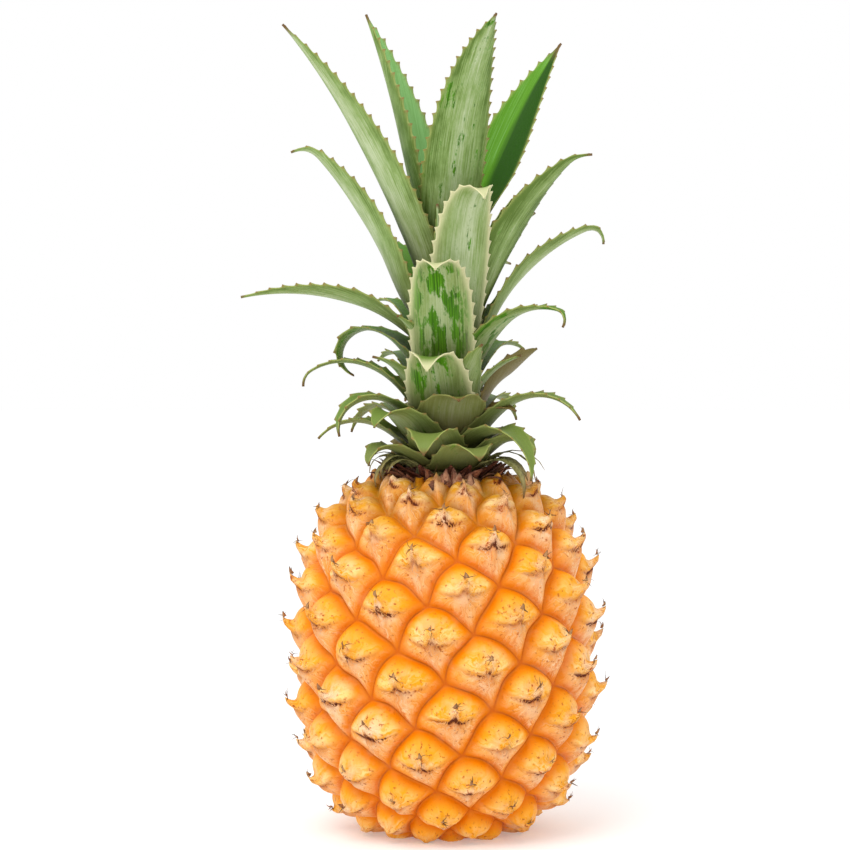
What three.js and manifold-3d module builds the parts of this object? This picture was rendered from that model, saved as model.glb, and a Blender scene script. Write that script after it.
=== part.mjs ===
// A small pineapple that stands upright on its base, as it does on a table.
//
// The fruit is one solid. Its eyes sit on a golden-angle spiral, and each eye is a diamond cell: a
// domed scale with a hooked bract point at its middle, and a groove all round it. Underneath, a ring
// groove sets off the cut end of the stalk. The crown is a short tapered stem in a socket on top of
// the fruit, a collar of dry bracts round its foot, and leaves that sit on the stem on a spiral of
// their own. Each leaf is an arched, channelled blade with a saw-toothed margin.
//
// Millimetres and degrees. +Z is up, +X is to the right and -Y is the front. The origin is the
// middle of the flat spot that the fruit stands on.

import * as THREE from "three";
import { mergeVertices } from "three/addons/utils/BufferGeometryUtils.js";
import Module from "manifold-3d";

const wasm = await Module();
wasm.setup();

const GOLDEN_ANGLE = 180 * (3 - Math.sqrt(5));
const CLEARANCE = 0.35; // gap left between neighbouring pieces
const ROUND_SIDES = 24;
const MERGE_DISTANCE = 1e-4;

// Fruit
const FRUIT_RADIUS = 50.6; // over the domes of the eyes
const FRUIT_HALF_HEIGHT = 63.5;
const FRUIT_CENTRE_Z = 60.5;
const FRUIT_ROUNDNESS = 2.7; // exponent of the superellipse: 2 is an ellipse, more is squarer
const OUTLINE_STEPS = 2000;
const SLOPE_STEP = 0.5; // the outline's slope is taken over this much to each side

// Eyes: whorls of 8 cells run one way round the fruit, and whorls of 13 the other way
const LOWEST_EYE = -84; // counted from the front eye: these lie under the flat spot
const HIGHEST_EYE = 62; // and these under the crown
const EYE_TURN = -GOLDEN_ANGLE; // from one eye to the next one up
const EYE_RISE = 1.22; // along the skin, from one eye to the next one up
const EYE_SHRINK = 0.35; // how far the rise follows the radius towards both ends
const FRONT_EYE_Z = 69;
const FRONT_EYE_TURN = -94.5;
const SHALLOW = 8;
const SHALLOW_TURNS = 3; // whole turns in 8 eyes
const STEEP = 13;
const STEEP_TURNS = 5; // whole turns in 13 eyes
const EYE_GRID = [-0.5, -0.38, -0.11, 0.11, 0.38, 0.5]; // a cell's grid lines, in both directions
const EDGE_BULGE = 0.1; // the sides of a cell bulge this share of it towards the top
const GROOVE_DEPTH = 5.2;
const DOME_FULLNESS = 2.8; // 2 is round, more is squarer
const EYE_SLOPE = 0.16; // an eye stands further out towards its top
const RELIEF_START = 7.5; // the relief grows from nothing at this radius
const RELIEF_FULL = 37.5; // to its whole depth at this one
const BRACT_POINT = 3.8; // how far a bract's point stands out of its dome
const BRACT_HOOK = 3.2; // how far the point rises from the middle of its eye

// Cut end of the stalk, in the flat spot
const CUT_END_RADIUS = 10.5;
const RING_GROOVE_WIDTH = 2.5;
const RING_GROOVE_DEPTH = 1.8;

// Stem of the crown, and the collar round its foot
const CROWN_Z = 121;
const SEAT_Z = 119.4; // the hollow that the crown sits in
const SEAT_RADIUS = 19.5;
const SEAT_WALL_LEAN = 30;
const STEM_RADIUS = 10.2;
const STEM_TIP_RADIUS = 1.8;
const STEM_HEIGHT = 60;
const STEM_DEPTH = 10; // sunk in the fruit
const COLLAR_BRACTS = 13;
const COLLAR_HEIGHT = 1.9;
const COLLAR_WIDTH = 3;
const BRACT = {
  length: 8.5,
  width: 6,
  footLean: 66,
  tipLean: 48,
  bend: 1,
  fullness: 1.5,
  swing: 0,
  twist: 0,
  fold: 30,
  footFold: 30,
  belly: 0,
  hook: 0,
};
const BRACT_STATIONS = [
  [0, 0],
  [0.45, 0],
  [1, 0],
];

// Leaves: they leave the stem on the golden-angle spiral, and ever further apart going up
const LEAF_COUNT = 50;
const LEAF_TURN = GOLDEN_ANGLE;
const FIRST_LEAF_TURN = 290;
const FIRST_LEAF_HEIGHT = 2;
const LEAF_RISE = 0.75;
const LEAF_RISE_GROWTH = 0.0085;
const FOOT_RADIUS = 12.4; // of the ring of blades round the stem's foot
const TIP_FOOT_RADIUS = 3.5; // of the ring round its tip

// Form of the leaves, of the lowest and of the highest one. The leans are from upright, so that a
// leaf past 90 arches over, and past 180 it curls back in.
const LEAF_LENGTH = [28, 72];
const LEAF_WIDTH = [20, 24];
const FOOT_LEAN = [42, 7];
const FOOT_LEAN_EASE = 1.2; // 1 is even from leaf to leaf, more drops faster among the lower ones
const TIP_LEAN = [190, 62];
const BEND = 1.3; // 1 bends evenly along the leaf, more bends late
const FULLNESS = [1.1, 1.4]; // 1 tapers evenly, more keeps a blade wide for longer
const FOLD = 32; // each half of a blade is folded up this far
const FOOT_FOLD = 52; // and this far at its foot
const BELLY = 12; // a foot leans out this much more, to go round the younger leaves

// Leaves that differ from that, by their number from the lowest one. aside is how far a leaf
// stands off the spiral, swing how far it turns aside on its way, twist how far its blade rolls, and
// hook how much further its dried end bends down.
const SHAPED_LEAVES = {
  // short ones round the foot, curled over the fruit's shoulder
  1: { length: 24, width: 22, tipLean: 150, bend: 2.2, fullness: 2.6 },
  2: { length: 26, width: 20, tipLean: 170, bend: 2, fullness: 2 },
  3: { length: 22, width: 22, tipLean: 190, bend: 2, fullness: 2.2 },
  4: { aside: -5, length: 26, width: 22, tipLean: 185, bend: 2.2, fullness: 2.4 },
  5: { length: 30, width: 20 },
  6: { length: 29, width: 22, tipLean: 175, bend: 2, fullness: 2.4 },
  7: { length: 32, width: 20 },
  8: { aside: -5, length: 38, width: 22, tipLean: 140, fullness: 0.9 },
  9: { aside: 4, length: 41, width: 22, tipLean: 190, bend: 1.2 },
  11: { length: 29, width: 24, tipLean: 160, bend: 2.2, fullness: 2.6 },
  14: { length: 27, width: 27, tipLean: 115, bend: 2.4, fullness: 3.4 },
  17: { length: 20, width: 18, tipLean: 120, twist: 20 },
  // arches to both sides
  12: { aside: -25, length: 47, width: 25, tipLean: 150, bend: 1.6, fullness: 0.9, swing: -5, belly: 5 },
  16: { aside: 0, length: 39, width: 26, tipLean: 195, bend: 1.5, fullness: 1.8, belly: 5 },
  20: { length: 34, width: 24, tipLean: 58, bend: 0.7, fullness: 2.5, twist: -40, belly: 8 },
  21: { aside: 12, length: 51, width: 22, tipLean: 140, fullness: 0.7, belly: 5, hook: 40 },
  29: { aside: -15, length: 52, width: 30, tipLean: 250, bend: 2, fullness: 1.5, belly: 5 },
  30: { aside: 5, length: 57, width: 27, tipLean: 118, fullness: 1, belly: 8, hook: 90 },
  33: { aside: 4, length: 76, width: 24, tipLean: 79, fullness: 1.6, twist: -25, belly: 9, hook: 100 },
  37: { aside: -15, length: 70, width: 28, tipLean: 102, bend: 0.55, fullness: 1.3, twist: 15, belly: 6 },
  // broad ones in front, straight up and curled down at the tip
  19: { aside: 15, length: 40, width: 25, tipLean: 165, bend: 3.5, fullness: 3 },
  27: { length: 61, width: 23, tipLean: 130, bend: 5, fullness: 5 },
  35: { aside: 1, length: 76, width: 21, tipLean: 150, bend: 6, fullness: 5 },
  // tall ones in the middle
  38: { length: 84, width: 28, footLean: 10, tipLean: 58, fullness: 1.5, twist: -25, hook: 30 },
  42: {
    aside: 10,
    length: 82,
    width: 30,
    footLean: 8,
    tipLean: 50,
    bend: 1.1,
    fullness: 1.8,
    twist: 25,
    belly: 32,
    hook: 60,
  },
  45: {
    aside: -15,
    length: 114,
    width: 25,
    footLean: 13,
    tipLean: 45,
    bend: 1,
    fullness: 2,
    twist: 10,
    belly: 0,
  },
  48: {
    aside: 7,
    length: 113,
    width: 24,
    tipLean: 60,
    bend: 1.4,
    fullness: 3.2,
    swing: 10,
    fold: 26,
    belly: 0,
  },
  49: {
    aside: -20,
    length: 100,
    width: 30,
    tipLean: 36,
    bend: 0.6,
    fullness: 2.2,
    twist: 30,
    fold: 34,
    belly: 0,
  },
  50: {
    aside: -25,
    length: 100,
    width: 40,
    tipLean: 21,
    bend: 1.4,
    fullness: 2,
    twist: -3,
    fold: 74,
    footFold: 74,
    belly: 8,
  },
  // young and short ones between those
  22: { aside: -5, length: 32, tipLean: 60 },
  24: { length: 27, tipLean: 80 },
  25: { length: 24, width: 17, tipLean: 75 },
  26: { length: 36 },
  28: { length: 36 },
  31: { width: 17, belly: 0 },
  32: { length: 29, width: 16, tipLean: 70 },
  34: { aside: -20, length: 44, width: 18 },
  39: { width: 18, belly: 25 },
  40: { aside: 10, length: 50, width: 11, tipLean: 25 },
  41: { length: 54, tipLean: 60 },
  43: { length: 52, width: 15, tipLean: 30 },
  46: { length: 50, tipLean: 45 },
  47: { aside: 8, length: 44, width: 11, tipLean: 20, belly: 0 },
};

// Blades
const TWIST_START = 0.05; // shares of a blade's length
const TWIST_END = 0.65;
const BELLY_END = 0.35;
const FOOT_FOLD_END = 0.6;
const HOOK_START = 0.86;
const CLASP = 55; // a foot wraps at most this far round the stem, each way from its middle
const WRAPPED = 0.75; // times the radius where its own channel takes over, a blade wraps the axis
const UNWRAPPED = 1.5; // and at this many times it, the blade is free
const BLADE_THICKNESS = 0.9;
const EDGE_THICKNESS = 0.7;
const TIP_WIDTH = 0.8;
const TAPER = 1.1; // 1 ends a blade in a blunt wedge, more in a finer point
const TOOTH_SPACING = 10;
const TOOTH_PEAK = 0.7; // share of the spacing: the teeth point on, to the blade's tip
const TOOTH_HEIGHT = 1.2;
const LONGEST_TOOTH = 0.2; // share of the blade's width there
const FEWEST_TEETH = 3;
const CENTRELINE_STEPS = 160;

const radians = THREE.MathUtils.degToRad;
const lerp = THREE.MathUtils.lerp;
const smoothstep = THREE.MathUtils.smoothstep;

// The closed surface of vertices and triangles as a geometry.
function geometryOf(vertices, triangles) {
  const geometry = new THREE.BufferGeometry();
  geometry.setAttribute("position", new THREE.Float32BufferAttribute(vertices, 3));
  geometry.setIndex(triangles);
  return geometry;
}

// A closed geometry as a solid that can be cut and joined.
function solidOf(geometry) {
  const bare = new THREE.BufferGeometry();
  bare.setAttribute("position", geometry.getAttribute("position"));
  bare.setIndex(geometry.getIndex());
  const merged = mergeVertices(bare, MERGE_DISTANCE);
  return new wasm.Manifold(
    new wasm.Mesh({
      numProp: 3,
      vertProperties: merged.attributes.position.array,
      triVerts: new Uint32Array(merged.index.array),
    }),
  );
}

// The largest body of a solid as a geometry: a cut can leave loose scraps.
function largestBody(solid) {
  const bodies = solid.decompose();
  const largest = bodies.reduce((a, b) => (a.volume() > b.volume() ? a : b));
  const mesh = largest.getMesh();
  const vertices = [];
  for (let i = 0; i < mesh.numVert; i++)
    vertices.push(...mesh.vertProperties.subarray(i * mesh.numProp, i * mesh.numProp + 3));
  return geometryOf(vertices, [...mesh.triVerts]);
}

// A solid of revolution about +Z from (radius, height) points listed upwards.
function lathe(points) {
  const profile = points.map(([r, z]) => new THREE.Vector2(r, z));
  return new THREE.LatheGeometry(profile, ROUND_SIDES).rotateX(Math.PI / 2);
}

function plainMaterial(color, roughness) {
  return new THREE.MeshStandardMaterial({ color, roughness, metalness: 0 });
}

// The fruit's outline as arc length, radius and height, from the lower pole to the upper one.
function fruitOutline() {
  const outline = { arc: [0], radius: [], height: [] };
  const power = 2 / FRUIT_ROUNDNESS;
  for (let i = 0; i <= OUTLINE_STEPS; i++) {
    const angle = Math.PI * (i / OUTLINE_STEPS - 0.5);
    const r = FRUIT_RADIUS * Math.max(Math.cos(angle), 0) ** power;
    const z = FRUIT_CENTRE_Z + FRUIT_HALF_HEIGHT * Math.sign(angle) * Math.abs(Math.sin(angle)) ** power;
    if (i > 0)
      outline.arc.push(outline.arc[i - 1] + Math.hypot(r - outline.radius[i - 1], z - outline.height[i - 1]));
    outline.radius.push(r);
    outline.height.push(z);
  }
  return outline;
}

// The value of ys where the rising list xs reaches x.
function interpolate(x, xs, ys) {
  let low = 0;
  let high = xs.length - 1;
  while (high - low > 1) {
    const middle = (low + high) >> 1;
    if (xs[middle] > x) high = middle;
    else low = middle;
  }
  const share = (x - xs[low]) / (xs[high] - xs[low]);
  return lerp(ys[low], ys[high], THREE.MathUtils.clamp(share, 0, 1));
}

// Counts eyes along the outline from the front eye: the rise from one eye to the next shrinks with
// the radius.
function eyeCount(outline) {
  const count = [0];
  for (let i = 1; i < outline.arc.length; i++) {
    const share = Math.max(outline.radius[i], outline.radius[i - 1]) / FRUIT_RADIUS;
    count.push(count[i - 1] + (outline.arc[i] - outline.arc[i - 1]) / (EYE_RISE * share ** EYE_SHRINK));
  }
  const front = interpolate(FRONT_EYE_Z, outline.height, count);
  return count.map((eyes) => eyes - front);
}

// How far the skin stands out of the groove level at (s, t) in a cell. s and t run from -0.5 to 0.5
// along the cell's two sides, and s + t runs up the cell.
function eyeRelief(s, t) {
  const dome = (1 - Math.abs(2 * s) ** DOME_FULLNESS) * (1 - Math.abs(2 * t) ** DOME_FULLNESS);
  return GROOVE_DEPTH * dome * (1 + EYE_SLOPE * (s + t));
}

// The skin of the fruit: every cell is a small grid, which shares its edges with the cells 8 and
// 13 eyes further up, and its middle square is raised to the bract's point. The zigzag edges at
// both ends are closed with a fan to a point on the axis.
function fruitSkin() {
  const outline = fruitOutline();
  const count = eyeCount(outline);
  const cells = EYE_GRID.length - 1;
  const middle = (cells - 1) / 2;
  const shallowTurn = SHALLOW * EYE_TURN + 360 * SHALLOW_TURNS;
  const steepTurn = STEEP * EYE_TURN + 360 * STEEP_TURNS;
  const vertices = [];
  const triangles = [];
  const known = new Map();

  function addVertex(eye, s, t, point) {
    const up = s + EDGE_BULGE * (1 - 4 * t * t);
    const over = t + EDGE_BULGE * (1 - 4 * s * s);
    const arc = interpolate(eye + SHALLOW * up + STEEP * over, count, outline.arc);
    const turn = radians(FRONT_EYE_TURN + eye * EYE_TURN + up * shallowTurn + over * steepTurn);
    const at = (list, along) => interpolate(along, outline.arc, list);
    const run = at(outline.radius, arc + SLOPE_STEP) - at(outline.radius, arc - SLOPE_STEP);
    const climb = at(outline.height, arc + SLOPE_STEP) - at(outline.height, arc - SLOPE_STEP);
    const size = smoothstep(at(outline.radius, arc), RELIEF_START, RELIEF_FULL);
    const offset = (size * (eyeRelief(s, t) - GROOVE_DEPTH + point * BRACT_POINT)) / Math.hypot(run, climb);
    const radius = at(outline.radius, arc) + offset * climb;
    const height = at(outline.height, arc) - offset * run + point * size * BRACT_HOOK;
    vertices.push(radius * Math.cos(turn), radius * Math.sin(turn), height);
    return vertices.length / 3 - 1;
  }

  function gridVertex(eye, p, q) {
    if (p === cells) return gridVertex(eye + SHALLOW, 0, q);
    if (q === cells) return gridVertex(eye + STEEP, p, 0);
    const key = `${eye} ${p} ${q}`;
    if (!known.has(key)) known.set(key, addVertex(eye, EYE_GRID[p], EYE_GRID[q], 0));
    return known.get(key);
  }

  for (let eye = LOWEST_EYE; eye <= HIGHEST_EYE; eye++)
    for (let p = 0; p < cells; p++)
      for (let q = 0; q < cells; q++) {
        const a = gridVertex(eye, p, q);
        const b = gridVertex(eye, p, q + 1);
        const c = gridVertex(eye, p + 1, q + 1);
        const d = gridVertex(eye, p + 1, q);
        if (p === middle && q === middle) {
          const tip = addVertex(eye, 0, 0, 1);
          triangles.push(a, b, tip, b, c, tip, c, d, tip, d, a, tip);
        } else triangles.push(a, b, c, a, c, d);
      }
  closeEnds(vertices, triangles);
  return geometryOf(vertices, triangles);
}

// Adds a fan from each open loop of edges to a point on the axis at the loop's mean height.
function closeEnds(vertices, triangles) {
  const edges = new Map();
  for (let i = 0; i < triangles.length; i += 3)
    for (let k = 0; k < 3; k++) {
      const a = triangles[i + k];
      const b = triangles[i + ((k + 1) % 3)];
      if (!edges.delete(`${b} ${a}`)) edges.set(`${a} ${b}`, [a, b]);
    }
  const next = new Map([...edges.values()].map(([a, b]) => [a, b]));
  while (next.size) {
    const loop = [];
    for (let at = next.keys().next().value; next.has(at); ) {
      loop.push(at);
      const following = next.get(at);
      next.delete(at);
      at = following;
    }
    const meanHeight = loop.reduce((sum, v) => sum + vertices[3 * v + 2], 0) / loop.length;
    vertices.push(0, 0, meanHeight);
    const centre = vertices.length / 3 - 1;
    loop.forEach((v, i) => triangles.push(loop[(i + 1) % loop.length], v, centre));
  }
}

// What is cut from the fruit: all below the flat spot, the ring groove round the stalk's cut end,
// the hollow that the collar sits in, and the stem's socket.
function fruitCuts() {
  const block = 4 * FRUIT_RADIUS;
  const floor = new THREE.BoxGeometry(block, block, block).translate(0, 0, -block / 2);
  const ringGroove = lathe([
    [CUT_END_RADIUS, -RING_GROOVE_DEPTH],
    [CUT_END_RADIUS + RING_GROOVE_WIDTH, -RING_GROOVE_DEPTH],
    [CUT_END_RADIUS + RING_GROOVE_WIDTH, RING_GROOVE_DEPTH],
    [CUT_END_RADIUS, RING_GROOVE_DEPTH],
    [CUT_END_RADIUS, -RING_GROOVE_DEPTH],
  ]);
  const top = SEAT_Z + FRUIT_RADIUS;
  const seat = lathe([
    [0, SEAT_Z],
    [SEAT_RADIUS, SEAT_Z],
    [SEAT_RADIUS + (top - SEAT_Z) * Math.tan(radians(SEAT_WALL_LEAN)), top],
    [0, top],
  ]);
  const stemSocket = lathe([
    [0, CROWN_Z - STEM_DEPTH - CLEARANCE],
    [STEM_RADIUS + CLEARANCE, CROWN_Z - STEM_DEPTH - CLEARANCE],
    [STEM_RADIUS + CLEARANCE, top],
    [0, top],
  ]);
  return [floor, ringGroove, seat, stemSocket];
}

function makeFruit() {
  const fruit = fruitCuts().reduce((left, cut) => left.subtract(solidOf(cut)), solidOf(fruitSkin()));
  const mesh = new THREE.Mesh(largestBody(fruit), plainMaterial(0xf2a02c, 0.45));
  mesh.name = "fruit";
  return mesh;
}

function makeStem() {
  const geometry = lathe([
    [0, -STEM_DEPTH],
    [STEM_RADIUS, -STEM_DEPTH],
    [STEM_RADIUS, 0],
    [STEM_TIP_RADIUS, STEM_HEIGHT],
    [0, STEM_HEIGHT + STEM_TIP_RADIUS],
  ]);
  const mesh = new THREE.Mesh(geometry, plainMaterial(0x9aa06a, 0.8));
  mesh.name = "crown_stem";
  return mesh;
}

// The collar: a ring round the stem's foot with dry pointed bracts that stand up and out.
function makeCollar() {
  const inner = STEM_RADIUS + CLEARANCE;
  const below = SEAT_Z - CROWN_Z + CLEARANCE;
  const ring = lathe([
    [inner, below],
    [inner + COLLAR_WIDTH, below],
    [inner + COLLAR_WIDTH, below + COLLAR_HEIGHT / 2],
    [inner, below + COLLAR_HEIGHT],
    [inner, below],
  ]);
  let collar = solidOf(ring);
  for (let i = 0; i < COLLAR_BRACTS; i++) {
    const bract = bladeGeometry(BRACT, BRACT_STATIONS, inner + COLLAR_WIDTH / 2, 0);
    bract.rotateZ(radians(i * GOLDEN_ANGLE)).translate(0, 0, below + COLLAR_HEIGHT / 2);
    collar = collar.add(solidOf(bract));
  }
  const mesh = new THREE.Mesh(largestBody(collar), plainMaterial(0x8a5638, 0.85));
  mesh.name = "collar_bracts";
  return mesh;
}

// A leaf's form: each value lies evenly between the lowest leaf's and the highest one's, or is the
// leaf's own.
function leafForm(index) {
  const share = index / (LEAF_COUNT - 1);
  const along = ([lowest, highest]) => lerp(lowest, highest, share);
  return {
    aside: 0,
    length: along(LEAF_LENGTH),
    width: along(LEAF_WIDTH),
    footLean: lerp(FOOT_LEAN[1], FOOT_LEAN[0], (1 - share) ** FOOT_LEAN_EASE),
    tipLean: along(TIP_LEAN),
    bend: BEND,
    fullness: along(FULLNESS),
    swing: 0,
    twist: 0,
    fold: FOLD,
    footFold: FOOT_FOLD,
    belly: BELLY,
    hook: 0,
    ...SHAPED_LEAVES[index + 1],
  };
}

// How far a leaf's foot is from the axis, and how high up the stem.
function leafFoot(index) {
  const height = FIRST_LEAF_HEIGHT + LEAF_RISE * index + LEAF_RISE_GROWTH * index * index;
  return { height, radius: lerp(FOOT_RADIUS, TIP_FOOT_RADIUS, Math.min(height / STEM_HEIGHT, 1)) };
}

// The shares of a blade's length where it has a ring: a notch, then the tooth that points on from it.
function toothStations(length) {
  const teeth = Math.max(FEWEST_TEETH, Math.round(length / TOOTH_SPACING));
  const stations = [];
  for (let i = 0; i < teeth; i++) {
    stations.push([i / teeth, 0]);
    stations.push([(i + TOOTH_PEAK) / teeth, 1]);
  }
  stations.push([1, 0]);
  return stations;
}

// The unit vector that leans so far from upright towards +X, swung so far round Z.
function directionOf(lean, swing) {
  const upright = new THREE.Vector3(0, 0, Math.cos(radians(lean)));
  const out = new THREE.Vector3(Math.cos(radians(swing)), Math.sin(radians(swing)), 0);
  return upright.addScaledVector(out, Math.sin(radians(lean)));
}

// How far a blade leans from upright at a share of its length.
function leanOf(form, share) {
  const arch = lerp(form.footLean, form.tipLean, share ** form.bend);
  const belly = form.belly * (1 - smoothstep(share, 0, BELLY_END));
  return arch + belly + form.hook * smoothstep(share, HOOK_START, 1);
}

// A blade in its own frame, with a ring at each station: the axis of the crown is Z, the foot is at
// the given radius on +X, and the blade grows up and leans out. Near the axis it wraps round it, and
// further out it keeps its own channel. A swell makes it fatter and wider all round, to cut its
// neighbours back from it.
function bladeGeometry(form, stations, foot, swell) {
  const vertices = [];
  const point = new THREE.Vector3(foot, 0, 0);
  let reached = 0;
  for (const [share, tooth] of stations) {
    for (; reached < Math.round(share * CENTRELINE_STEPS); reached++) {
      const middle = (reached + 0.5) / CENTRELINE_STEPS;
      const growth = directionOf(leanOf(form, middle), form.swing * middle);
      point.addScaledVector(growth, form.length / CENTRELINE_STEPS);
    }
    vertices.push(...bladeRing(form, share, tooth, point, swell));
  }
  return geometryOf(vertices, ringTriangles(stations.length));
}

// The 6 corners of a blade's section at a share of its length: 3 on the upper side, 3 below.
function bladeRing(form, share, tooth, point, swell) {
  const fold = radians(lerp(form.footFold, form.fold, smoothstep(share, 0, FOOT_FOLD_END)));
  const clasp = radians(CLASP);
  const radius = Math.hypot(point.x, point.y);
  const tapered = Math.max(TIP_WIDTH, form.width * (1 - share ** form.fullness) ** TAPER);
  const width = Math.min(tapered, 2 * clasp * radius);
  const halfAngle = Math.max(fold, Math.min(width / (2 * radius), clasp));
  const freeRadius = form.width / (2 * radians(form.fold));
  const hug = 1 - smoothstep(radius, WRAPPED * freeRadius, UNWRAPPED * freeRadius);

  const swing = form.swing * share;
  const outward = directionOf(90, swing);
  const inner = directionOf(leanOf(form, share) - 90, swing).lerp(outward.clone().negate(), hug).normalize();
  const across = new THREE.Vector3(-outward.y, outward.x, 0);
  const turned = radians(form.twist) * smoothstep(share, TWIST_START, TWIST_END);
  const sideways = across.clone().multiplyScalar(Math.cos(turned)).addScaledVector(inner, Math.sin(turned));
  const upper = inner.clone().multiplyScalar(Math.cos(turned)).addScaledVector(across, -Math.sin(turned));

  const curve = width / (2 * halfAngle);
  const reach = tooth * Math.min(TOOTH_HEIGHT, LONGEST_TOOTH * width) + swell;
  const along = (angle) =>
    sideways.clone().multiplyScalar(Math.cos(angle)).addScaledVector(upper, Math.sin(angle));
  const columns = [1, 0, -1].map((column) => {
    const angle = column * halfAngle;
    const half = (column ? EDGE_THICKNESS : BLADE_THICKNESS) / 2 + swell;
    const middle = point
      .clone()
      .addScaledVector(sideways, curve * Math.sin(angle))
      .addScaledVector(upper, curve * (1 - Math.cos(angle)))
      .addScaledVector(along(angle), column * reach);
    const normal = along(angle + Math.PI / 2).multiplyScalar(half);
    return { above: middle.clone().add(normal), below: middle.sub(normal) };
  });
  const above = columns.map((column) => column.above);
  const below = columns.map((column) => column.below).reverse();
  return [...above, ...below].flatMap((corner) => corner.toArray());
}

// The faces of a blade whose rings have 6 vertices each, closed at both ends.
function ringTriangles(rings) {
  const size = 6;
  const triangles = [];
  for (let i = 0; i + 1 < rings; i++)
    for (let k = 0; k < size; k++) {
      const a = i * size + k;
      const b = i * size + ((k + 1) % size);
      triangles.push(a, b, b + size, a, b + size, a + size);
    }
  const last = (rings - 1) * size;
  for (const [a, b, c, d] of [
    [0, 1, 4, 5],
    [1, 2, 3, 4],
  ]) {
    triangles.push(a, c, b, a, d, c);
    triangles.push(last + a, last + b, last + c, last + a, last + c, last + d);
  }
  return triangles;
}

// Where a leaf stands: turned to its place on the spiral, at its height on the stem.
function leafPlace(index) {
  const turn = radians(FIRST_LEAF_TURN + index * LEAF_TURN + leafForm(index).aside);
  return new THREE.Matrix4().makeRotationZ(turn).setPosition(0, 0, leafFoot(index).height);
}

// A leaf in its place as a solid, swollen so far.
function leafSolid(index, swell) {
  const form = leafForm(index);
  const blade = bladeGeometry(form, toothStations(form.length), leafFoot(index).radius, swell);
  return solidOf(blade.applyMatrix4(leafPlace(index)));
}

// The leaves, from the lowest up. Each is cut back, by the clearance, from the higher leaves.
function makeLeaves() {
  const numbers = Array.from({ length: LEAF_COUNT }, (_, index) => index);
  const swollen = numbers.map((index) => leafSolid(index, CLEARANCE));
  return numbers.map((index) => {
    const higher = swollen.slice(index + 1);
    const blade = higher.reduce((left, neighbour) => left.subtract(neighbour), leafSolid(index, 0));
    const place = leafPlace(index);
    const geometry = largestBody(blade).applyMatrix4(place.clone().invert());
    const mesh = new THREE.Mesh(geometry, plainMaterial(0x86a06b, 0.55));
    mesh.applyMatrix4(place);
    mesh.name = `leaf_${String(index + 1).padStart(2, "0")}`;
    return mesh;
  });
}

const crown = new THREE.Group();
crown.position.z = CROWN_Z;
crown.add(makeStem(), makeCollar(), ...makeLeaves());

const pineapple = new THREE.Group();
pineapple.add(makeFruit(), crown);

export default pineapple;
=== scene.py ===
"""Dresses a packed pineapple: fine skin, papery bract points, dry threads and toothed leaves.

Lengths in the classes are millimetres and degrees, as the fruit's own sizes are given, and every
mesh is turned to metres when it is made. +Z is up and -Y is the front.
"""

import logging
import math
from dataclasses import dataclass, field, replace
from enum import Enum

import bpy
import numpy as np
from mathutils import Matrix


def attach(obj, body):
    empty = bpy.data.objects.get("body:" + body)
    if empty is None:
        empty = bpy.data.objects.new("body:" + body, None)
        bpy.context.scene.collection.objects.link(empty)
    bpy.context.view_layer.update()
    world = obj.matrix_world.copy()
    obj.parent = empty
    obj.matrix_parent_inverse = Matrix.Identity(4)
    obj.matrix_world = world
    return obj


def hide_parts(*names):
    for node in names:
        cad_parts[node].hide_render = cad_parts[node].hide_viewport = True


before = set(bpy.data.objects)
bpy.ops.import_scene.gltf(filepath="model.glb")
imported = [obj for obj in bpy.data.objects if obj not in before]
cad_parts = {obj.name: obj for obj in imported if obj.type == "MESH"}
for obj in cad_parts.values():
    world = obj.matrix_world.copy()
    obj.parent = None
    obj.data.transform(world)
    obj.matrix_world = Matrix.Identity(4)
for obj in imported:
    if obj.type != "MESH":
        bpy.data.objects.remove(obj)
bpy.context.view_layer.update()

log = logging.getLogger("pineapple")

MM = 0.001
GOLDEN_ANGLE = 180 * (3 - math.sqrt(5))
BODY = "root"
SHALLOW_ROWS = 8
STEEP_ROWS = 13
NEIGHBOURS = SHALLOW_ROWS + STEEP_ROWS + 1
TIP_NARROWING = 0.92
NARROWING_POWER = 1.4


class Slot(Enum):
    """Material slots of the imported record."""

    FRUIT_SKIN = "fruit_skin"
    STEM = "stem"
    DRY_BRACT = "dry_bract"
    LEAF = "leaf"


def linear(colour: str) -> tuple[float, float, float, float]:
    """Turns an sRGB hex colour to linear light.

    Args:
        colour: Six hex digits, with or without a hash.

    Returns:
        Red, green, blue and an alpha of 1.
    """
    digits = colour.lstrip("#")
    shares = [int(digits[i : i + 2], 16) / 255 for i in (0, 2, 4)]
    light = [c / 12.92 if c <= 0.04045 else ((c + 0.055) / 1.055) ** 2.4 for c in shares]
    return (*light, 1.0)


def smoothstep(x: np.ndarray, low: float, high: float) -> np.ndarray:
    """Rises smoothly from 0 at low to 1 at high: 3 k^2 - 2 k^3 of the share k between them."""
    k = np.clip((x - low) / (high - low), 0, 1)
    return k * k * (3 - 2 * k)


def bell(x: np.ndarray, width: np.ndarray | float) -> np.ndarray:
    """Falls off from 1 in the middle to both sides: e to the power of -(x / width)^2."""
    return np.exp(-((x / width) ** 2))


def lerp(a: np.ndarray | float, b: np.ndarray | float, share: np.ndarray | float) -> np.ndarray | float:
    """Goes in a straight line from a to b."""
    return a + (b - a) * share


def unit(vectors: np.ndarray) -> np.ndarray:
    """Scales each vector of an array to a length of 1."""
    return vectors / np.linalg.norm(vectors, axis=-1, keepdims=True)


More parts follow.
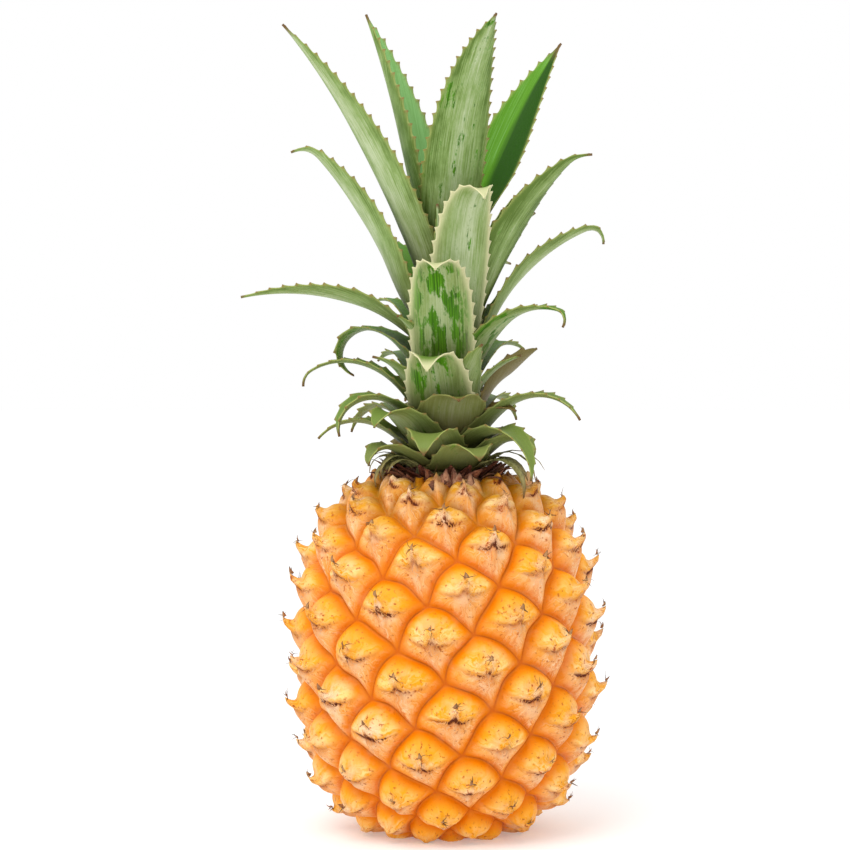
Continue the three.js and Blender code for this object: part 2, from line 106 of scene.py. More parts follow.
def add(tree: bpy.types.NodeTree, kind: str, inputs: dict | None = None, **settings) -> bpy.types.Node:
    """Adds a node with its settings and links.

    Args:
        tree: The node tree.
        kind: The node's type name.
        inputs: For each input, by name or number, a value or the output that is linked to it.
        settings: The node's own properties.

    Returns:
        The new node.
    """
    node = tree.nodes.new(kind)
    for name, value in settings.items():
        setattr(node, name, value)
    for key, value in (inputs or {}).items():
        if isinstance(value, bpy.types.NodeSocket):
            tree.links.new(value, node.inputs[key])
        else:
            node.inputs[key].default_value = value
    return node


def paint(node: bpy.types.Node, stops: dict[float, str]) -> bpy.types.NodeSocket:
    """Sets the colours of a ramp node.

    Args:
        node: The ramp node.
        stops: Position to hex colour, in rising order.

    Returns:
        The colour output.
    """
    elements = node.color_ramp.elements
    while len(elements) < len(stops):
        elements.new(1.0)
    for element, (position, colour) in zip(elements, stops.items()):
        element.position = position
        element.color = linear(colour)
    return node.outputs["Color"]


def ribbons(
    base: np.ndarray,
    along: np.ndarray,
    towards: np.ndarray,
    length: np.ndarray,
    width: np.ndarray,
    thickness: float,
    curl: np.ndarray,
    stations: int,
) -> tuple[np.ndarray, np.ndarray, np.ndarray]:
    """Builds many thin, curled, tapering strips at once.

    At share k of its length a strip heads along its first direction turned by k times its curl
    towards the second. Its section is a flat diamond that narrows to 1 - 0.92 k^1.4 of its size.

    Args:
        base: Where each strip starts.
        along: The direction that each starts in.
        towards: The direction that each curls to.
        length: The length of each.
        width: The width of each at its start.
        thickness: The thickness of all.
        curl: How many degrees each turns in all.
        stations: Rings along a strip.

    Returns:
        Vertices, faces and the corners' UV, whose second number is the share of the length.
    """
    share = np.linspace(0, 1, stations)
    along = unit(along)
    towards = unit(towards - along * np.sum(along * towards, -1, keepdims=True))

    def turned(at: np.ndarray) -> tuple[np.ndarray, np.ndarray]:
        """Works out how the strips point along their length.

        Args:
            at: Shares of the length.

        Returns:
            The heading and the normal of each strip at each share.
        """
        angle = np.radians(curl)[:, None, None] * at[None, :, None]
        first, second = along[:, None], towards[:, None]
        cos, sin = np.cos(angle), np.sin(angle)
        return first * cos + second * sin, second * cos - first * sin

    steps = turned((share[1:] + share[:-1]) / 2)[0] * (length / (stations - 1))[:, None, None]
    path = base[:, None] + np.concatenate([np.zeros((len(base), 1, 3)), np.cumsum(steps, 1)], 1)
    heading, normal = turned(share)
    across = np.cross(normal, heading)
    taper = (1 - TIP_NARROWING * share**NARROWING_POWER)[None, :, None]
    wide = across * width[:, None, None] / 2 * taper
    thick = normal * thickness / 2 * taper
    rings = np.stack([path + wide, path + thick, path - wide, path - thick], 2)
    strip, ring, side = (a.ravel() for a in np.meshgrid(
        np.arange(len(base)), np.arange(stations - 1), np.arange(4), indexing="ij"
    ))
    start = (strip * stations + ring) * 4
    beside = start + (side + 1) % 4
    sides = np.stack([start + side, beside, beside + 4, start + 4 + side], -1)
    first = np.arange(len(base))[:, None] * stations * 4
    ends = np.vstack([first + [3, 2, 1, 0], first + (stations - 1) * 4 + np.arange(4)])
    faces = np.vstack([sides, ends])
    rounds = np.tile(np.arange(4) / 4, len(base) * stations)
    place = np.stack([rounds, np.tile(np.repeat(share, 4), len(base))], -1)
    return rings.reshape(-1, 3), faces, place[faces]


def make_piece(
    name: str,
    vertices: np.ndarray,
    faces: np.ndarray,
    material: bpy.types.Material,
    uv: np.ndarray | None = None,
    marks: dict[str, np.ndarray] | None = None,
) -> bpy.types.Object:
    """Makes a smooth mesh object that rides on the part.

    Args:
        name: The piece's name.
        vertices: Points in millimetres, one row each.
        faces: Vertex numbers, four to a face. A triangle repeats its third one.
        material: Its material.
        uv: Two numbers for each corner of each face, in the faces' order.
        marks: Named numbers for each vertex, which the material reads.

    Returns:
        The object.
    """
    mesh = bpy.data.meshes.new(name)
    square = faces[:, 2] != faces[:, 3]
    corners = [row if whole else row[:3] for row, whole in zip(faces.tolist(), square)]
    mesh.from_pydata((vertices * MM).tolist(), [], corners)
    mesh.shade_smooth()
    if uv is not None:
        kept = np.ones(faces.shape, bool)
        kept[:, 3] = square
        mesh.uv_layers.new(name="UVMap").data.foreach_set("uv", uv[kept].astype(np.float32).ravel())
    for mark, values in (marks or {}).items():
        layer = mesh.attributes.new(mark, "FLOAT", "POINT")
        layer.data.foreach_set("value", values.astype(np.float32).ravel())
    mesh.materials.append(material)
    piece = bpy.data.objects.new(name, mesh)
    bpy.context.scene.collection.objects.link(piece)
    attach(piece, BODY)
    log.info("%s: %d faces", name, len(faces))
    return piece


def new_material(name: str) -> tuple[bpy.types.Material, bpy.types.NodeTree]:
    """Makes an empty node material.

    Args:
        name: The material's name.

    Returns:
        The material and its node tree.
    """
    material = bpy.data.materials.new(name)
    material.use_nodes = True
    material.node_tree.nodes.clear()
    return material, material.node_tree


def finish_surface(tree: bpy.types.NodeTree, shader: bpy.types.Node) -> None:
    """Links a shader to the material's output."""
    add(tree, "ShaderNodeOutputMaterial", {"Surface": shader.outputs[0]})


@dataclass(frozen=True)
class SkinFinish:
    """Waxy ripe pineapple skin: deep orange grooves, golden domes, peach bracts, dry brown bands along
    the cracks, whose dark middle line is painted shade.

    Waves are counted to the metre: 330 is one in 3 mm. Those of the rays are coarser and counted
    round an eye. A patch is a mark times a noise that fades in between two levels.
    """

    groove: str = "CB6200"
    # Olive brown of the eyes near the crown: less ripe skin, darkened further as painted shade under the
    # leaves.
    groove_side: str = "DE7800"
    slope: str = "EA8600"
    dome: str = "F3A212"
    young: str = "A87614"
    pale: str = "FFDC90"
    bract: str = "F0AA62"
    bract_pink: str = "DC8040"
    rib: str = "FBD8AE"
    dry: str = "94481C"
    # Near-black brown painted along the middle of the lip's crease as its shade.
    crack_and_shade: str = "5A2206"
    speck: str = "B0541A"
    cut: str = "B4874E"
    cut_dark: str = "6A4420"
    roughness: float = 0.42
    specular: float = 0.14
    subsurface: float = 0.03
    subsurface_radius: tuple[float, float, float] = (0.6, 0.3, 0.05)
    subsurface_scale: float = 0.002
    drift_waves: float = 330
    mottle_waves: float = 210
    grain_waves: float = 800
    drift: float = 0.6
    ray_middle: float = 0.1
    eye_shift: float = 50
    wide_rays: tuple[float, float] = (3.2, 1.3)
    fine_rays: tuple[float, float] = (9, 1.6)
    # Levels of the crack mark between which the painted crease shade comes in.
    crack_shade_edge: tuple[float, float] = (0.5, 0.75)
    rib_bump: float = 2.5
    bump_strength: float = 0.4
    bump_depth: float = 0.0005

    def material(self) -> bpy.types.Material:
        """Builds the skin: colour by height over the grooves, and rays round the middle of each eye.

        The rays are a noise read on a circle round the eye's middle, so they run outwards from it.
        They streak the upper scale with pale yellow, rib the bract with cream and break up the dark line
        of painted shade in the lip's crease.
        The cut end of the stalk is fibrous and brown. Towards the crown the skin turns olive brown,
        partly as less ripe skin and partly as painted shade under the leaves.

        Returns:
            The material.
        """
        material, tree = new_material("ripe_pineapple_skin")
        uv = add(tree, "ShaderNodeUVMap", uv_map="UVMap").outputs["UV"]
        place = add(tree, "ShaderNodeTexCoord").outputs["Object"]
        marks = {
            mark: add(tree, "ShaderNodeAttribute", attribute_name=mark).outputs["Fac"]
            for mark in ("relief", "bract", "pale", "papery", "dry", "crack_and_shade", "chance", "young", "cut")
        }
        drift = add(tree, "ShaderNodeTexNoise", {"Vector": place, "Scale": self.drift_waves, "Detail": 3.0})
        back = (-self.drift / 2, self.ray_middle - self.drift / 2, 0)
        middle = add(tree, "ShaderNodeVectorMath", {0: uv, 1: back}, operation="ADD").outputs[0]
        reach = (self.drift, self.drift, 0)
        drifted = {0: drift.outputs["Color"], 1: reach, 2: middle}
        centred = add(tree, "ShaderNodeVectorMath", drifted, operation="MULTIPLY_ADD").outputs[0]
        far = add(tree, "ShaderNodeVectorMath", {0: centred}, operation="LENGTH").outputs["Value"]
        ray = add(tree, "ShaderNodeVectorMath", {0: centred}, operation="NORMALIZE").outputs[0]
        moved = {0: marks["chance"], 1: self.eye_shift, 2: far}
        depth = add(tree, "ShaderNodeMath", moved, operation="MULTIPLY_ADD").outputs[0]
        lift = add(tree, "ShaderNodeCombineXYZ", {"Z": depth}).outputs[0]
        sources = {"mottle": (place, self.mottle_waves, 5.0), "grain": (place, self.grain_waves, 3.0)}
        for name, (spread, waves), detail in (("wide", self.wide_rays, 5.0), ("fine", self.fine_rays, 4.0)):
            ring = {0: ray, 1: (spread, spread, 0), 2: lift}
            circle = add(tree, "ShaderNodeVectorMath", ring, operation="MULTIPLY_ADD").outputs[0]
            sources[name] = (circle, waves, detail)
        noise = {}
        for name, (vector, waves, detail) in sources.items():
            node = add(tree, "ShaderNodeTexNoise", {"Vector": vector, "Scale": waves, "Detail": detail})
            noise[name] = node.outputs["Fac"]

        patches = {}
        for mark, pattern, start, full in (
            ("young", "mottle", 0, 1),
            ("pale", "wide", 0.4, 0.62),
            ("papery", "mottle", 0.46, 0.6),
            ("relief", "grain", 0.6, 0.7),
            ("dry", "fine", 0.49, 0.57),
            ("crack_and_shade", "wide", 0.38, 0.5),
            ("bract", "fine", 0, 1),
        ):
            levels = {"Value": noise[pattern], "From Min": start, "From Max": full}
            faded = add(tree, "ShaderNodeMapRange", levels, clamp=True).outputs[0]
            product = add(tree, "ShaderNodeMath", {0: marks[mark], 1: faded}, operation="MULTIPLY")
            patches[mark] = product.outputs[0]
        # The crack band's middle is painted shade, darkest in the crease under the upper scale.
        levels = {"Value": patches["crack_and_shade"], "From Min": self.crack_shade_edge[0], "From Max": self.crack_shade_edge[1]}
        crack_shade_middle = add(tree, "ShaderNodeMapRange", levels, clamp=True).outputs[0]
        heights = {0.0: self.groove, 0.1: self.groove_side, 0.36: self.slope, 0.8: self.dome}
        ramps = {
            "skin": (marks["relief"], heights),
            "ribs": (noise["fine"], {0.34: self.bract_pink, 0.5: self.bract, 0.7: self.rib}),
            "fibres": (noise["grain"], {0.4: self.cut_dark, 0.62: self.cut}),
        }
        for name, (source, stops) in ramps.items():
            ramps[name] = paint(add(tree, "ShaderNodeValToRGB", {"Fac": source}), stops)
        colour = ramps["skin"]
        for share, layer in (
            (patches["young"], linear(self.young)),
            (patches["pale"], linear(self.pale)),
            (marks["bract"], ramps["ribs"]),
            (patches["papery"], linear(self.rib)),
            (patches["relief"], linear(self.speck)),
            (patches["dry"], linear(self.dry)),
            (patches["crack_and_shade"], linear(self.speck)),
            (crack_shade_middle, linear(self.crack_and_shade)),
            (marks["cut"], ramps["fibres"]),
        ):
            mix = add(tree, "ShaderNodeMix", {0: share, 6: colour, 7: layer}, data_type="RGBA")
            colour = mix.outputs[2]
        rough = {0: patches["bract"], 1: self.rib_bump, 2: noise["grain"]}
        height = add(tree, "ShaderNodeMath", rough, operation="MULTIPLY_ADD").outputs[0]
        raised = {"Height": height, "Strength": self.bump_strength, "Distance": self.bump_depth}
        bump = add(tree, "ShaderNodeBump", raised)
        inputs = {
            "Base Color": colour,
            "Roughness": self.roughness,
            "Specular IOR Level": self.specular,
            "Normal": bump.outputs[0],
            "Subsurface Weight": self.subsurface,
            "Subsurface Radius": self.subsurface_radius,
            "Subsurface Scale": self.subsurface_scale,
        }
        finish_surface(tree, add(tree, "ShaderNodeBsdfPrincipled", inputs))
        return material


@dataclass(frozen=True)
class DryFinish:
    """Dead plant paper: the bracts' points, threads and the collar, matt with lengthwise ribs."""

    name: str
    light: str
    dark: str
    tip: str
    roughness: float = 0.85
    waves: float = 900
    upright_stretch: float = 0.35
    tip_power: float = 4
    bump_strength: float = 0.5
    bump_depth: float = 0.0003

    def material(self) -> bpy.types.Material:
        """Builds the material: ribs of about 1 mm along the piece and a darker end, from its UV map.

        Returns:
            The material.
        """
        material, tree = new_material(self.name)
        uv = add(tree, "ShaderNodeUVMap", uv_map="UVMap").outputs["UV"]
        place = add(tree, "ShaderNodeTexCoord").outputs["Object"]
        share = add(tree, "ShaderNodeSeparateXYZ", {0: uv}).outputs["Y"]
        stretch = add(tree, "ShaderNodeMapping", {"Vector": place, "Scale": (1.0, 1.0, self.upright_stretch)})
        noise = add(
            tree, "ShaderNodeTexNoise", {"Vector": stretch.outputs[0], "Scale": self.waves, "Detail": 3.0}
        ).outputs["Fac"]
        body = paint(add(tree, "ShaderNodeValToRGB", {"Fac": noise}), {0.35: self.dark, 0.62: self.light})
        end = add(tree, "ShaderNodeMath", {0: share, 1: self.tip_power}, operation="POWER", use_clamp=True)
        ended = {0: end.outputs[0], 6: body, 7: linear(self.tip)}
        colour = add(tree, "ShaderNodeMix", ended, data_type="RGBA").outputs[2]
        raised = {"Height": noise, "Strength": self.bump_strength, "Distance": self.bump_depth}
        bump = add(tree, "ShaderNodeBump", raised)
        inputs = {"Base Color": colour, "Roughness": self.roughness, "Normal": bump.outputs[0]}
        finish_surface(tree, add(tree, "ShaderNodeBsdfPrincipled", inputs))
        return material


@dataclass(frozen=True)
class LeafFinish:
    """Pineapple leaf: grey scurf over green outside, glossy green inside, pale toothed margins, and a
    foot darkened to olive brown as painted shade where the leaves crowd round the stem.

    The leaf's UV counts tenths of a metre. The lines are 0.3 mm wide and 20 mm long, and the patches
    3 mm by 12 mm, which is coarser than the scurf's own hairs.
    """

    outer: str = "86A05C"
    outer_dark: str = "54702A"
    scurf: str = "BECBA2"
    olive: str = "7E8448"
    inner: str = "558F12"
    inner_light: str = "93C47C"
    inner_dark: str = "224E00"
    margin: str = "9CA65C"
    cream: str = "D8D4A6"
    tooth: str = "8E6C3E"
    # Dark olive painted over each leaf's foot as the shade round the stem.
    foot: str = "4E4A22"
    dry: str = "6E5230"
    roughness: float = 0.5
    specular: float = 0.16
    line_waves: tuple[float, float, float] = (330, 5, 1)
    patch_waves: tuple[float, float, float] = (30, 8, 1)
    grain_waves: float = 1200
    bare_edge: tuple[float, float] = (0.66, 0.72)
    rim_power: float = 24
    foot_shade_end: float = 0.45
    bump_strength: float = 0.35
    bump_depth: float = 0.0003

    def material(self) -> bpy.types.Material:
        """Builds the leaf: fine lines along it, scurf rubbed off in ragged patches, brown tooth tips, and
        painted shade darkening the foot.

        Returns:
            The material.
        """
        material, tree = new_material("pineapple_leaf")
        uv = add(tree, "ShaderNodeUVMap", uv_map="UVMap").outputs["UV"]
        place = add(tree, "ShaderNodeTexCoord").outputs["Object"]
        marks = {
            mark: add(tree, "ShaderNodeAttribute", attribute_name=mark).outputs["Fac"]
            for mark in ("inside", "edge", "share", "tooth", "dry", "rubbed", "age", "deep", "tone", "cream")
        }
        noise = {}
        for name, stretch, detail, rough in (
            ("lines", self.line_waves, 4.0, 0.5),
            ("patches", self.patch_waves, 9.0, 0.68),
        ):
            vector = add(tree, "ShaderNodeMapping", {"Vector": uv, "Scale": stretch}).outputs[0]
            inputs = {"Vector": vector, "Scale": 1.0, "Detail": detail, "Roughness": rough}
            noise[name] = add(tree, "ShaderNodeTexNoise", inputs).outputs["Fac"]
        sums = {
            "dusted": (marks["tone"], (marks["edge"], -0.3), (noise["lines"], 0.6), (noise["patches"], 0.7)),
            "worn": (noise["patches"], (marks["rubbed"], 0.2)),
            "streaky": (marks["deep"], (noise["lines"], 0.5)),
        }
        for name, (total, *terms) in sums.items():
            for term, weight in terms:
                summed = {0: term, 1: weight, 2: total}
                total = add(tree, "ShaderNodeMath", summed, operation="MULTIPLY_ADD").outputs[0]
            sums[name] = total
        ramps = {
            "cover": (sums["dusted"], {0.3: self.outer_dark, 0.5: self.outer, 0.76: self.scurf}),
            "green": (noise["lines"], {0.36: self.inner_dark, 0.62: self.inner}),
            "deep": (sums["streaky"], {0.22: self.inner_light, 0.5: self.inner, 0.95: self.inner_dark}),
        }
        for name, (source, stops) in ramps.items():
            ramps[name] = paint(add(tree, "ShaderNodeValToRGB", {"Fac": source}), stops)
        levels = {"Value": sums["worn"], "From Min": self.bare_edge[0], "From Max": self.bare_edge[1]}
        bare = add(tree, "ShaderNodeMapRange", levels, clamp=True).outputs[0]
        # Painted shade: the foot takes the foot colour, fading out along the first part of the length.
        levels = {"Value": marks["share"], "From Max": self.foot_shade_end, "To Min": 1.0, "To Max": 0.0}
        low = add(tree, "ShaderNodeMapRange", levels, clamp=True).outputs[0]
        rim = add(
            tree, "ShaderNodeMath", {0: marks["edge"], 1: self.rim_power}, operation="POWER", use_clamp=True
        ).outputs[0]
        aged = {0: marks["age"], 6: ramps["deep"], 7: linear(self.olive)}
        inner = add(tree, "ShaderNodeMix", aged, data_type="RGBA").outputs[2]
        colour = ramps["cover"]
        for share, layer in (
            (marks["age"], linear(self.olive)),
            (bare, ramps["green"]),
            (marks["inside"], inner),
            (rim, linear(self.margin)),
            (marks["tooth"], linear(self.tooth)),
            # painted shade at the foot
            (low, linear(self.foot)),
            (marks["cream"], linear(self.cream)),
            (marks["dry"], linear(self.dry)),
        ):
            mix = add(tree, "ShaderNodeMix", {0: share, 6: colour, 7: layer}, data_type="RGBA")
            colour = mix.outputs[2]
        grain = add(tree, "ShaderNodeTexNoise", {"Vector": place, "Scale": self.grain_waves, "Detail": 2.0})
        rough = {0: noise["lines"], 1: grain.outputs["Fac"]}
        height = add(tree, "ShaderNodeMath", rough, operation="ADD").outputs[0]
        raised = {"Height": height, "Strength": self.bump_strength, "Distance": self.bump_depth}
        bump = add(tree, "ShaderNodeBump", raised)
        inputs = {
            "Base Color": colour,
            "Roughness": self.roughness,
            "Specular IOR Level": self.specular,
            "Normal": bump.outputs[0],
        }
        finish_surface(tree, add(tree, "ShaderNodeBsdfPrincipled", inputs))
        return material


@dataclass
class Fruit:
    """The fruit's skin as a spiral of eyes, with its papery points and threads.

    An eye is numbered n, counted from the front one, and s and t run from -0.5 to 0.5 along the two
    sides of its cell. The point (s, t) of eye n lies at the count n + 8 s + 13 t along the outline,
    and is turned by n golden angles and s and t times the turns of 8 and of 13 eyes. The sides of
    the cells bulge upwards: s is first moved by 1 - 4 t^2 times a tenth, and t by 1 - 4 s^2.
    The sizes of the lip, the ridge, the ribs and the point are in eyes, about 1 from the middle to
    the rim, and the heights of the relief are millimetres. A pair is the smallest and the largest.
    """

    radius: float = 50.6
    half_height: float = 63.5
    centre_z: float = 60.5
    roundness: float = 2.7
    lowest_eye: int = -84
    highest_eye: int = 62
    eye_rise: float = 1.22
    eye_shrink: float = 0.35
    half_eye_width: float = 12
    half_eye_height: float = 12.5
    front_eye_z: float = 69
    front_eye_turn: float = -94.5
    groove_depth: float = 5.2
    dome_fullness: float = 3.3
    edge_bulge: float = 0.1
    eye_slope: float = 0.16
    lip_curve: float = 0.5
    lip_drop: float = 0.2
    lip_reach: float = 0.95
    lip_width: float = 0.06
    lip_depth: float = 0.7
    bract_dip: float = 0.35
    swell: float = 0.9
    swell_fade: float = 0.5
    ridge_widths: tuple[float, float] = (0.3, 0.11)
    ridge_height: float = 0.7
    rib_middle: float = 0.1
    rib_counts: tuple[int, int] = (13, 8)
    lump_counts: tuple[int, int] = (4, 5)
    relief_start: float = 7.5
    relief_full: float = 37.5
    rib_height: float = 0.09
    lump: float = 0.22
    wave: float = 0.45
    wave_length: float = 17
    wave_turns: tuple = ((0.8, -0.5), (0.5, 0.7), (0.6, 0.9))
    point_out: float = 3.3
    point_up: float = 3.2
    point_width: float = 0.12
    point_tails: tuple[float, float] = (0.34, 0.11)
    top_point: float = 0.45
    top_point_z: tuple[float, float] = (88, 116)
    # Heights over which the eyes darken towards the crown, as less ripe skin and as painted shade.
    young_z: tuple[float, float] = (96, 121)
    cell_faces: int = 24
    threads: int = 4
    foot_depth: float = 0.9
    dry_length: tuple[float, float] = (1.5, 2.7)
    dry_width: tuple[float, float] = (1.3, 2.1)
    dry_curl: tuple[float, float] = (30, 90)
    dry_thickness: float = 0.5
    dry_stations: int = 7
    thread_length: tuple[float, float] = (1.4, 3.8)
    thread_width: tuple[float, float] = (0.25, 0.5)
    thread_curl: tuple[float, float] = (30, 150)
    thread_thickness: float = 0.2
    thread_stations: int = 6
    plain_low: int = 26
    plain_high: int = 14
    cut_end_radius: float = 10.5
    ring_groove_width: float = 2.5
    ring_groove_depth: float = 1.8
    edge_softness: float = 0.3
    seat_z: float = 119.4
    seat_radius: float = 19.5
    seat_slope: float = 30
    socket_floor: float = 0.75
    socket_radius: float = 10.55
    socket_z: float = 110.65
    under_rings: tuple[float, ...] = (16.5, 13.3, 12.7, 10.8, 10.2, 8, 4.5)
    seat_rings: tuple[float, ...] = (22, 19.6, 15, 10.6, 9.2, 7.9, 4)
    ring_step: float = 0.04
    outline_steps: int = 4000
    seed: int = 11
    finish: SkinFinish = field(default_factory=SkinFinish)

    def __post_init__(self) -> None:
        """Works out the superellipse outline by arc length, and counts the eyes along it."""
        angle = np.pi * (np.arange(self.outline_steps + 1) / self.outline_steps - 0.5)
        power = 2 / self.roundness
        self.r = self.radius * np.maximum(np.cos(angle), 0) ** power
        self.z = self.centre_z + self.half_height * np.sign(angle) * np.abs(np.sin(angle)) ** power
        step = np.hypot(np.diff(self.r), np.diff(self.z))
        self.arc = np.concatenate([[0], np.cumsum(step)])
        share = np.maximum(self.r[1:], self.r[:-1]) / self.radius
        count = np.concatenate([[0], np.cumsum(step / (self.eye_rise * share**self.eye_shrink))])
        self.count = count - np.interp(self.front_eye_z, self.z, count)
        eyes = self.highest_eye - self.lowest_eye + NEIGHBOURS
        self.chance = np.random.default_rng(self.seed).random((eyes, 4))
        self.shallow_turn = 3 * 360 - SHALLOW_ROWS * GOLDEN_ANGLE
        self.steep_turn = 5 * 360 - STEEP_ROWS * GOLDEN_ANGLE

    def frames(self, eye: np.ndarray, s: np.ndarray, t: np.ndarray) -> dict[str, np.ndarray]:
        """Gives the smooth outline's point, outward and upward directions at points of the skin.

        Args:
            eye: Eye numbers.
            s: Place along the shallow side of the cell.
            t: Place along the steep side.

        Returns:
            point, out, up and side as rows, and size, the share of the relief there.
        """
        arc = np.interp(eye + SHALLOW_ROWS * s + STEEP_ROWS * t, self.count, self.arc)
        turn = np.radians(
            self.front_eye_turn - eye * GOLDEN_ANGLE + s * self.shallow_turn + t * self.steep_turn
        )
        r = np.interp(arc, self.arc, self.r)
        z = np.interp(arc, self.arc, self.z)
        run = np.interp(arc + 0.5, self.arc, self.r) - np.interp(arc - 0.5, self.arc, self.r)
        climb = np.interp(arc + 0.5, self.arc, self.z) - np.interp(arc - 0.5, self.arc, self.z)
        length = np.hypot(run, climb)
        cos, sin = np.cos(turn), np.sin(turn)
        return {
            "point": np.stack([r * cos, r * sin, z], -1),
            "out": np.stack([climb / length * cos, climb / length * sin, -run / length], -1),
            "up": np.stack([run / length * cos, run / length * sin, climb / length], -1),
            "side": np.stack([-sin, cos, np.zeros_like(sin)], -1),
            "size": smoothstep(r, self.relief_start, self.relief_full),
        }

    def eye_place(self, s: np.ndarray, t: np.ndarray) -> tuple[np.ndarray, np.ndarray]:
        """Turns cell coordinates to a place in the eye.

        x is the turn of the place times the fruit's girth, and y its rise, both over half an eye.

        Args:
            s: Place along the shallow side of the cell.
            t: Place along the steep side.

        Returns:
            x to the right and y up, both about 1 at the eye's rim.
        """
        width = 2 * np.pi * self.radius / 360
        x = (s * self.shallow_turn + t * self.steep_turn) * width / self.half_eye_width
        y = (SHALLOW_ROWS * s + STEEP_ROWS * t) * self.eye_rise / self.half_eye_height
        return x, y

    def eye_marks(self, s: np.ndarray, t: np.ndarray) -> dict[str, np.ndarray]:
        """Works out an eye's parts at points of its cell.

        The dome is a product of two squared-off humps. A smile-shaped lip, y = 0.5 x^2 - 0.2, parts
        the upper scale from the bract below. The bract's middle runs up over the scale as a narrow
        ridge and ends in the point.

        Args:
            s: Place along the shallow side.
            t: Place along the steep side.

        Returns:
            The place x and y in the eye, its distance far from the ribs' middle and past_lip, the
            height over the lip; and from 0 to 1 dome, above (the lip), lip (the crack), ridge,
            point and reach, which fades to the ends of the lip.
        """
        x, y = self.eye_place(s, t)
        past_lip = y - (self.lip_curve * x * x - self.lip_drop)
        reach = np.clip(1 - (x / self.lip_reach) ** 2, 0, 1)
        ridge_width = lerp(*self.ridge_widths, smoothstep(y, -0.9, 0.1))
        ridge_ends = smoothstep(y, -1.1, -0.3) * (1 - smoothstep(y, 0.05, 0.3))
        return {
            "x": x,
            "y": y,
            "far": np.hypot(x, y + self.rib_middle),
            "dome": (1 - np.abs(2 * s) ** self.dome_fullness) * (1 - np.abs(2 * t) ** self.dome_fullness),
            "above": smoothstep(past_lip, -0.03, 0.05),
            "lip": bell(past_lip, self.lip_width) * reach,
            "ridge": bell(x, ridge_width) * ridge_ends,
            "point": bell(x, self.point_width) * bell(y, np.where(y < 0, *self.point_tails)),
            "past_lip": past_lip,
            "reach": reach,
        }

    def skin_points(self, eye: np.ndarray, s: np.ndarray, t: np.ndarray) -> np.ndarray:
        """Gives points of the finished skin: the outline, moved out by the eye's relief.

        The relief is the dome, a step at the lip where the upper scale overhangs the bract, the
        bract's ridge, faint ribs and lumps that differ from eye to eye, and the point, which also
        rises along the skin. Slow waves of the place itself make the grooves wander a little.

        Args:
            eye: Eye numbers.
            s: Place along the shallow side of the cell.
            t: Place along the steep side.

        Returns:
            The points.
        """
        marks = self.eye_marks(s, t)
        x, y, dome, above, reach = (marks[name] for name in ("x", "y", "dome", "above", "reach"))
        bulge = self.edge_bulge
        axes = self.frames(eye, s + bulge * (1 - 4 * t * t), t + bulge * (1 - 4 * s * s))
        swell = self.swell * reach * above * np.exp(-marks["past_lip"] / self.swell_fade)
        dip = -self.lip_depth * marks["lip"] - self.bract_dip * reach * (1 - above)
        relief = self.groove_depth * dome * (1 + self.eye_slope * (s + t)) - self.groove_depth
        relief = relief + dome * (swell + dip + self.ridge_height * marks["ridge"])
        phase = 2 * np.pi * self.chance[eye - self.lowest_eye]
        angle = np.arctan2(y + self.rib_middle, x)
        ribs = sum(np.sin(number * angle + phase[..., i]) for i, number in enumerate(self.rib_counts))
        across, upwards = self.lump_counts
        lump = np.sin(across * x + phase[..., 2]) + np.sin(upwards * y + phase[..., 3])
        ribs = self.rib_height * ribs * smoothstep(marks["far"], 0.1, 0.45)
        tall = lerp(1.0, self.top_point, smoothstep(axes["point"][..., 2], *self.top_point_z))
        relief = relief + dome * (ribs + self.lump * lump) + tall * self.point_out * marks["point"]
        wave = np.sin(axes["point"] @ (np.array(self.wave_turns) / self.wave_length) * 2 * np.pi)
        points = axes["point"] + axes["out"] * (axes["size"] * relief)[..., None]
        for i, direction in enumerate(("side", "up")):
            points = points + axes[direction] * (self.wave * axes["size"] * wave[..., i])[..., None]
        points[..., 2] += tall * self.point_up * axes["size"] * marks["point"] ** 1.5
        return self.shape_ends(points)

    def shape_ends(self, points: np.ndarray) -> np.ndarray:
        """Flattens the underside with its ring groove, and sinks the crown's seat and stem socket.

        Below, z is at least 0, or the groove's depth inside the groove. Above, z is at most the
        seat's, which rises as a cone outside the seat, and inside the socket it drops to its floor.

        Args:
            points: Points of the skin.

        Returns:
            The points with both ends shaped.
        """
        rho = np.hypot(points[..., 0], points[..., 1])
        z = points[..., 2]
        below = z < self.centre_z
        near, past = (
            smoothstep(rho, edge - self.edge_softness, edge + self.edge_softness)
            for edge in (self.cut_end_radius, self.cut_end_radius + self.ring_groove_width)
        )
        z = np.where(below, np.maximum(z, self.ring_groove_depth * near * (1 - past)), z)
        wall = self.seat_z + np.maximum(rho - self.seat_radius, 0) / math.tan(math.radians(self.seat_slope))
        z = np.where(below, z, np.minimum(z, wall))
        inside = np.clip(rho / self.socket_radius, 0, 1)
        in_socket = ~below & (rho < self.socket_radius)
        z = np.where(in_socket, lerp(self.socket_z, self.seat_z, smoothstep(inside, self.socket_floor, 1)), z)
        wide = self.socket_radius * np.minimum(inside / self.socket_floor, 1)
        scale = np.where(in_socket, wide / np.maximum(rho, 1e-6), 1.0)
        return np.stack([points[..., 0] * scale, points[..., 1] * scale, z], -1)

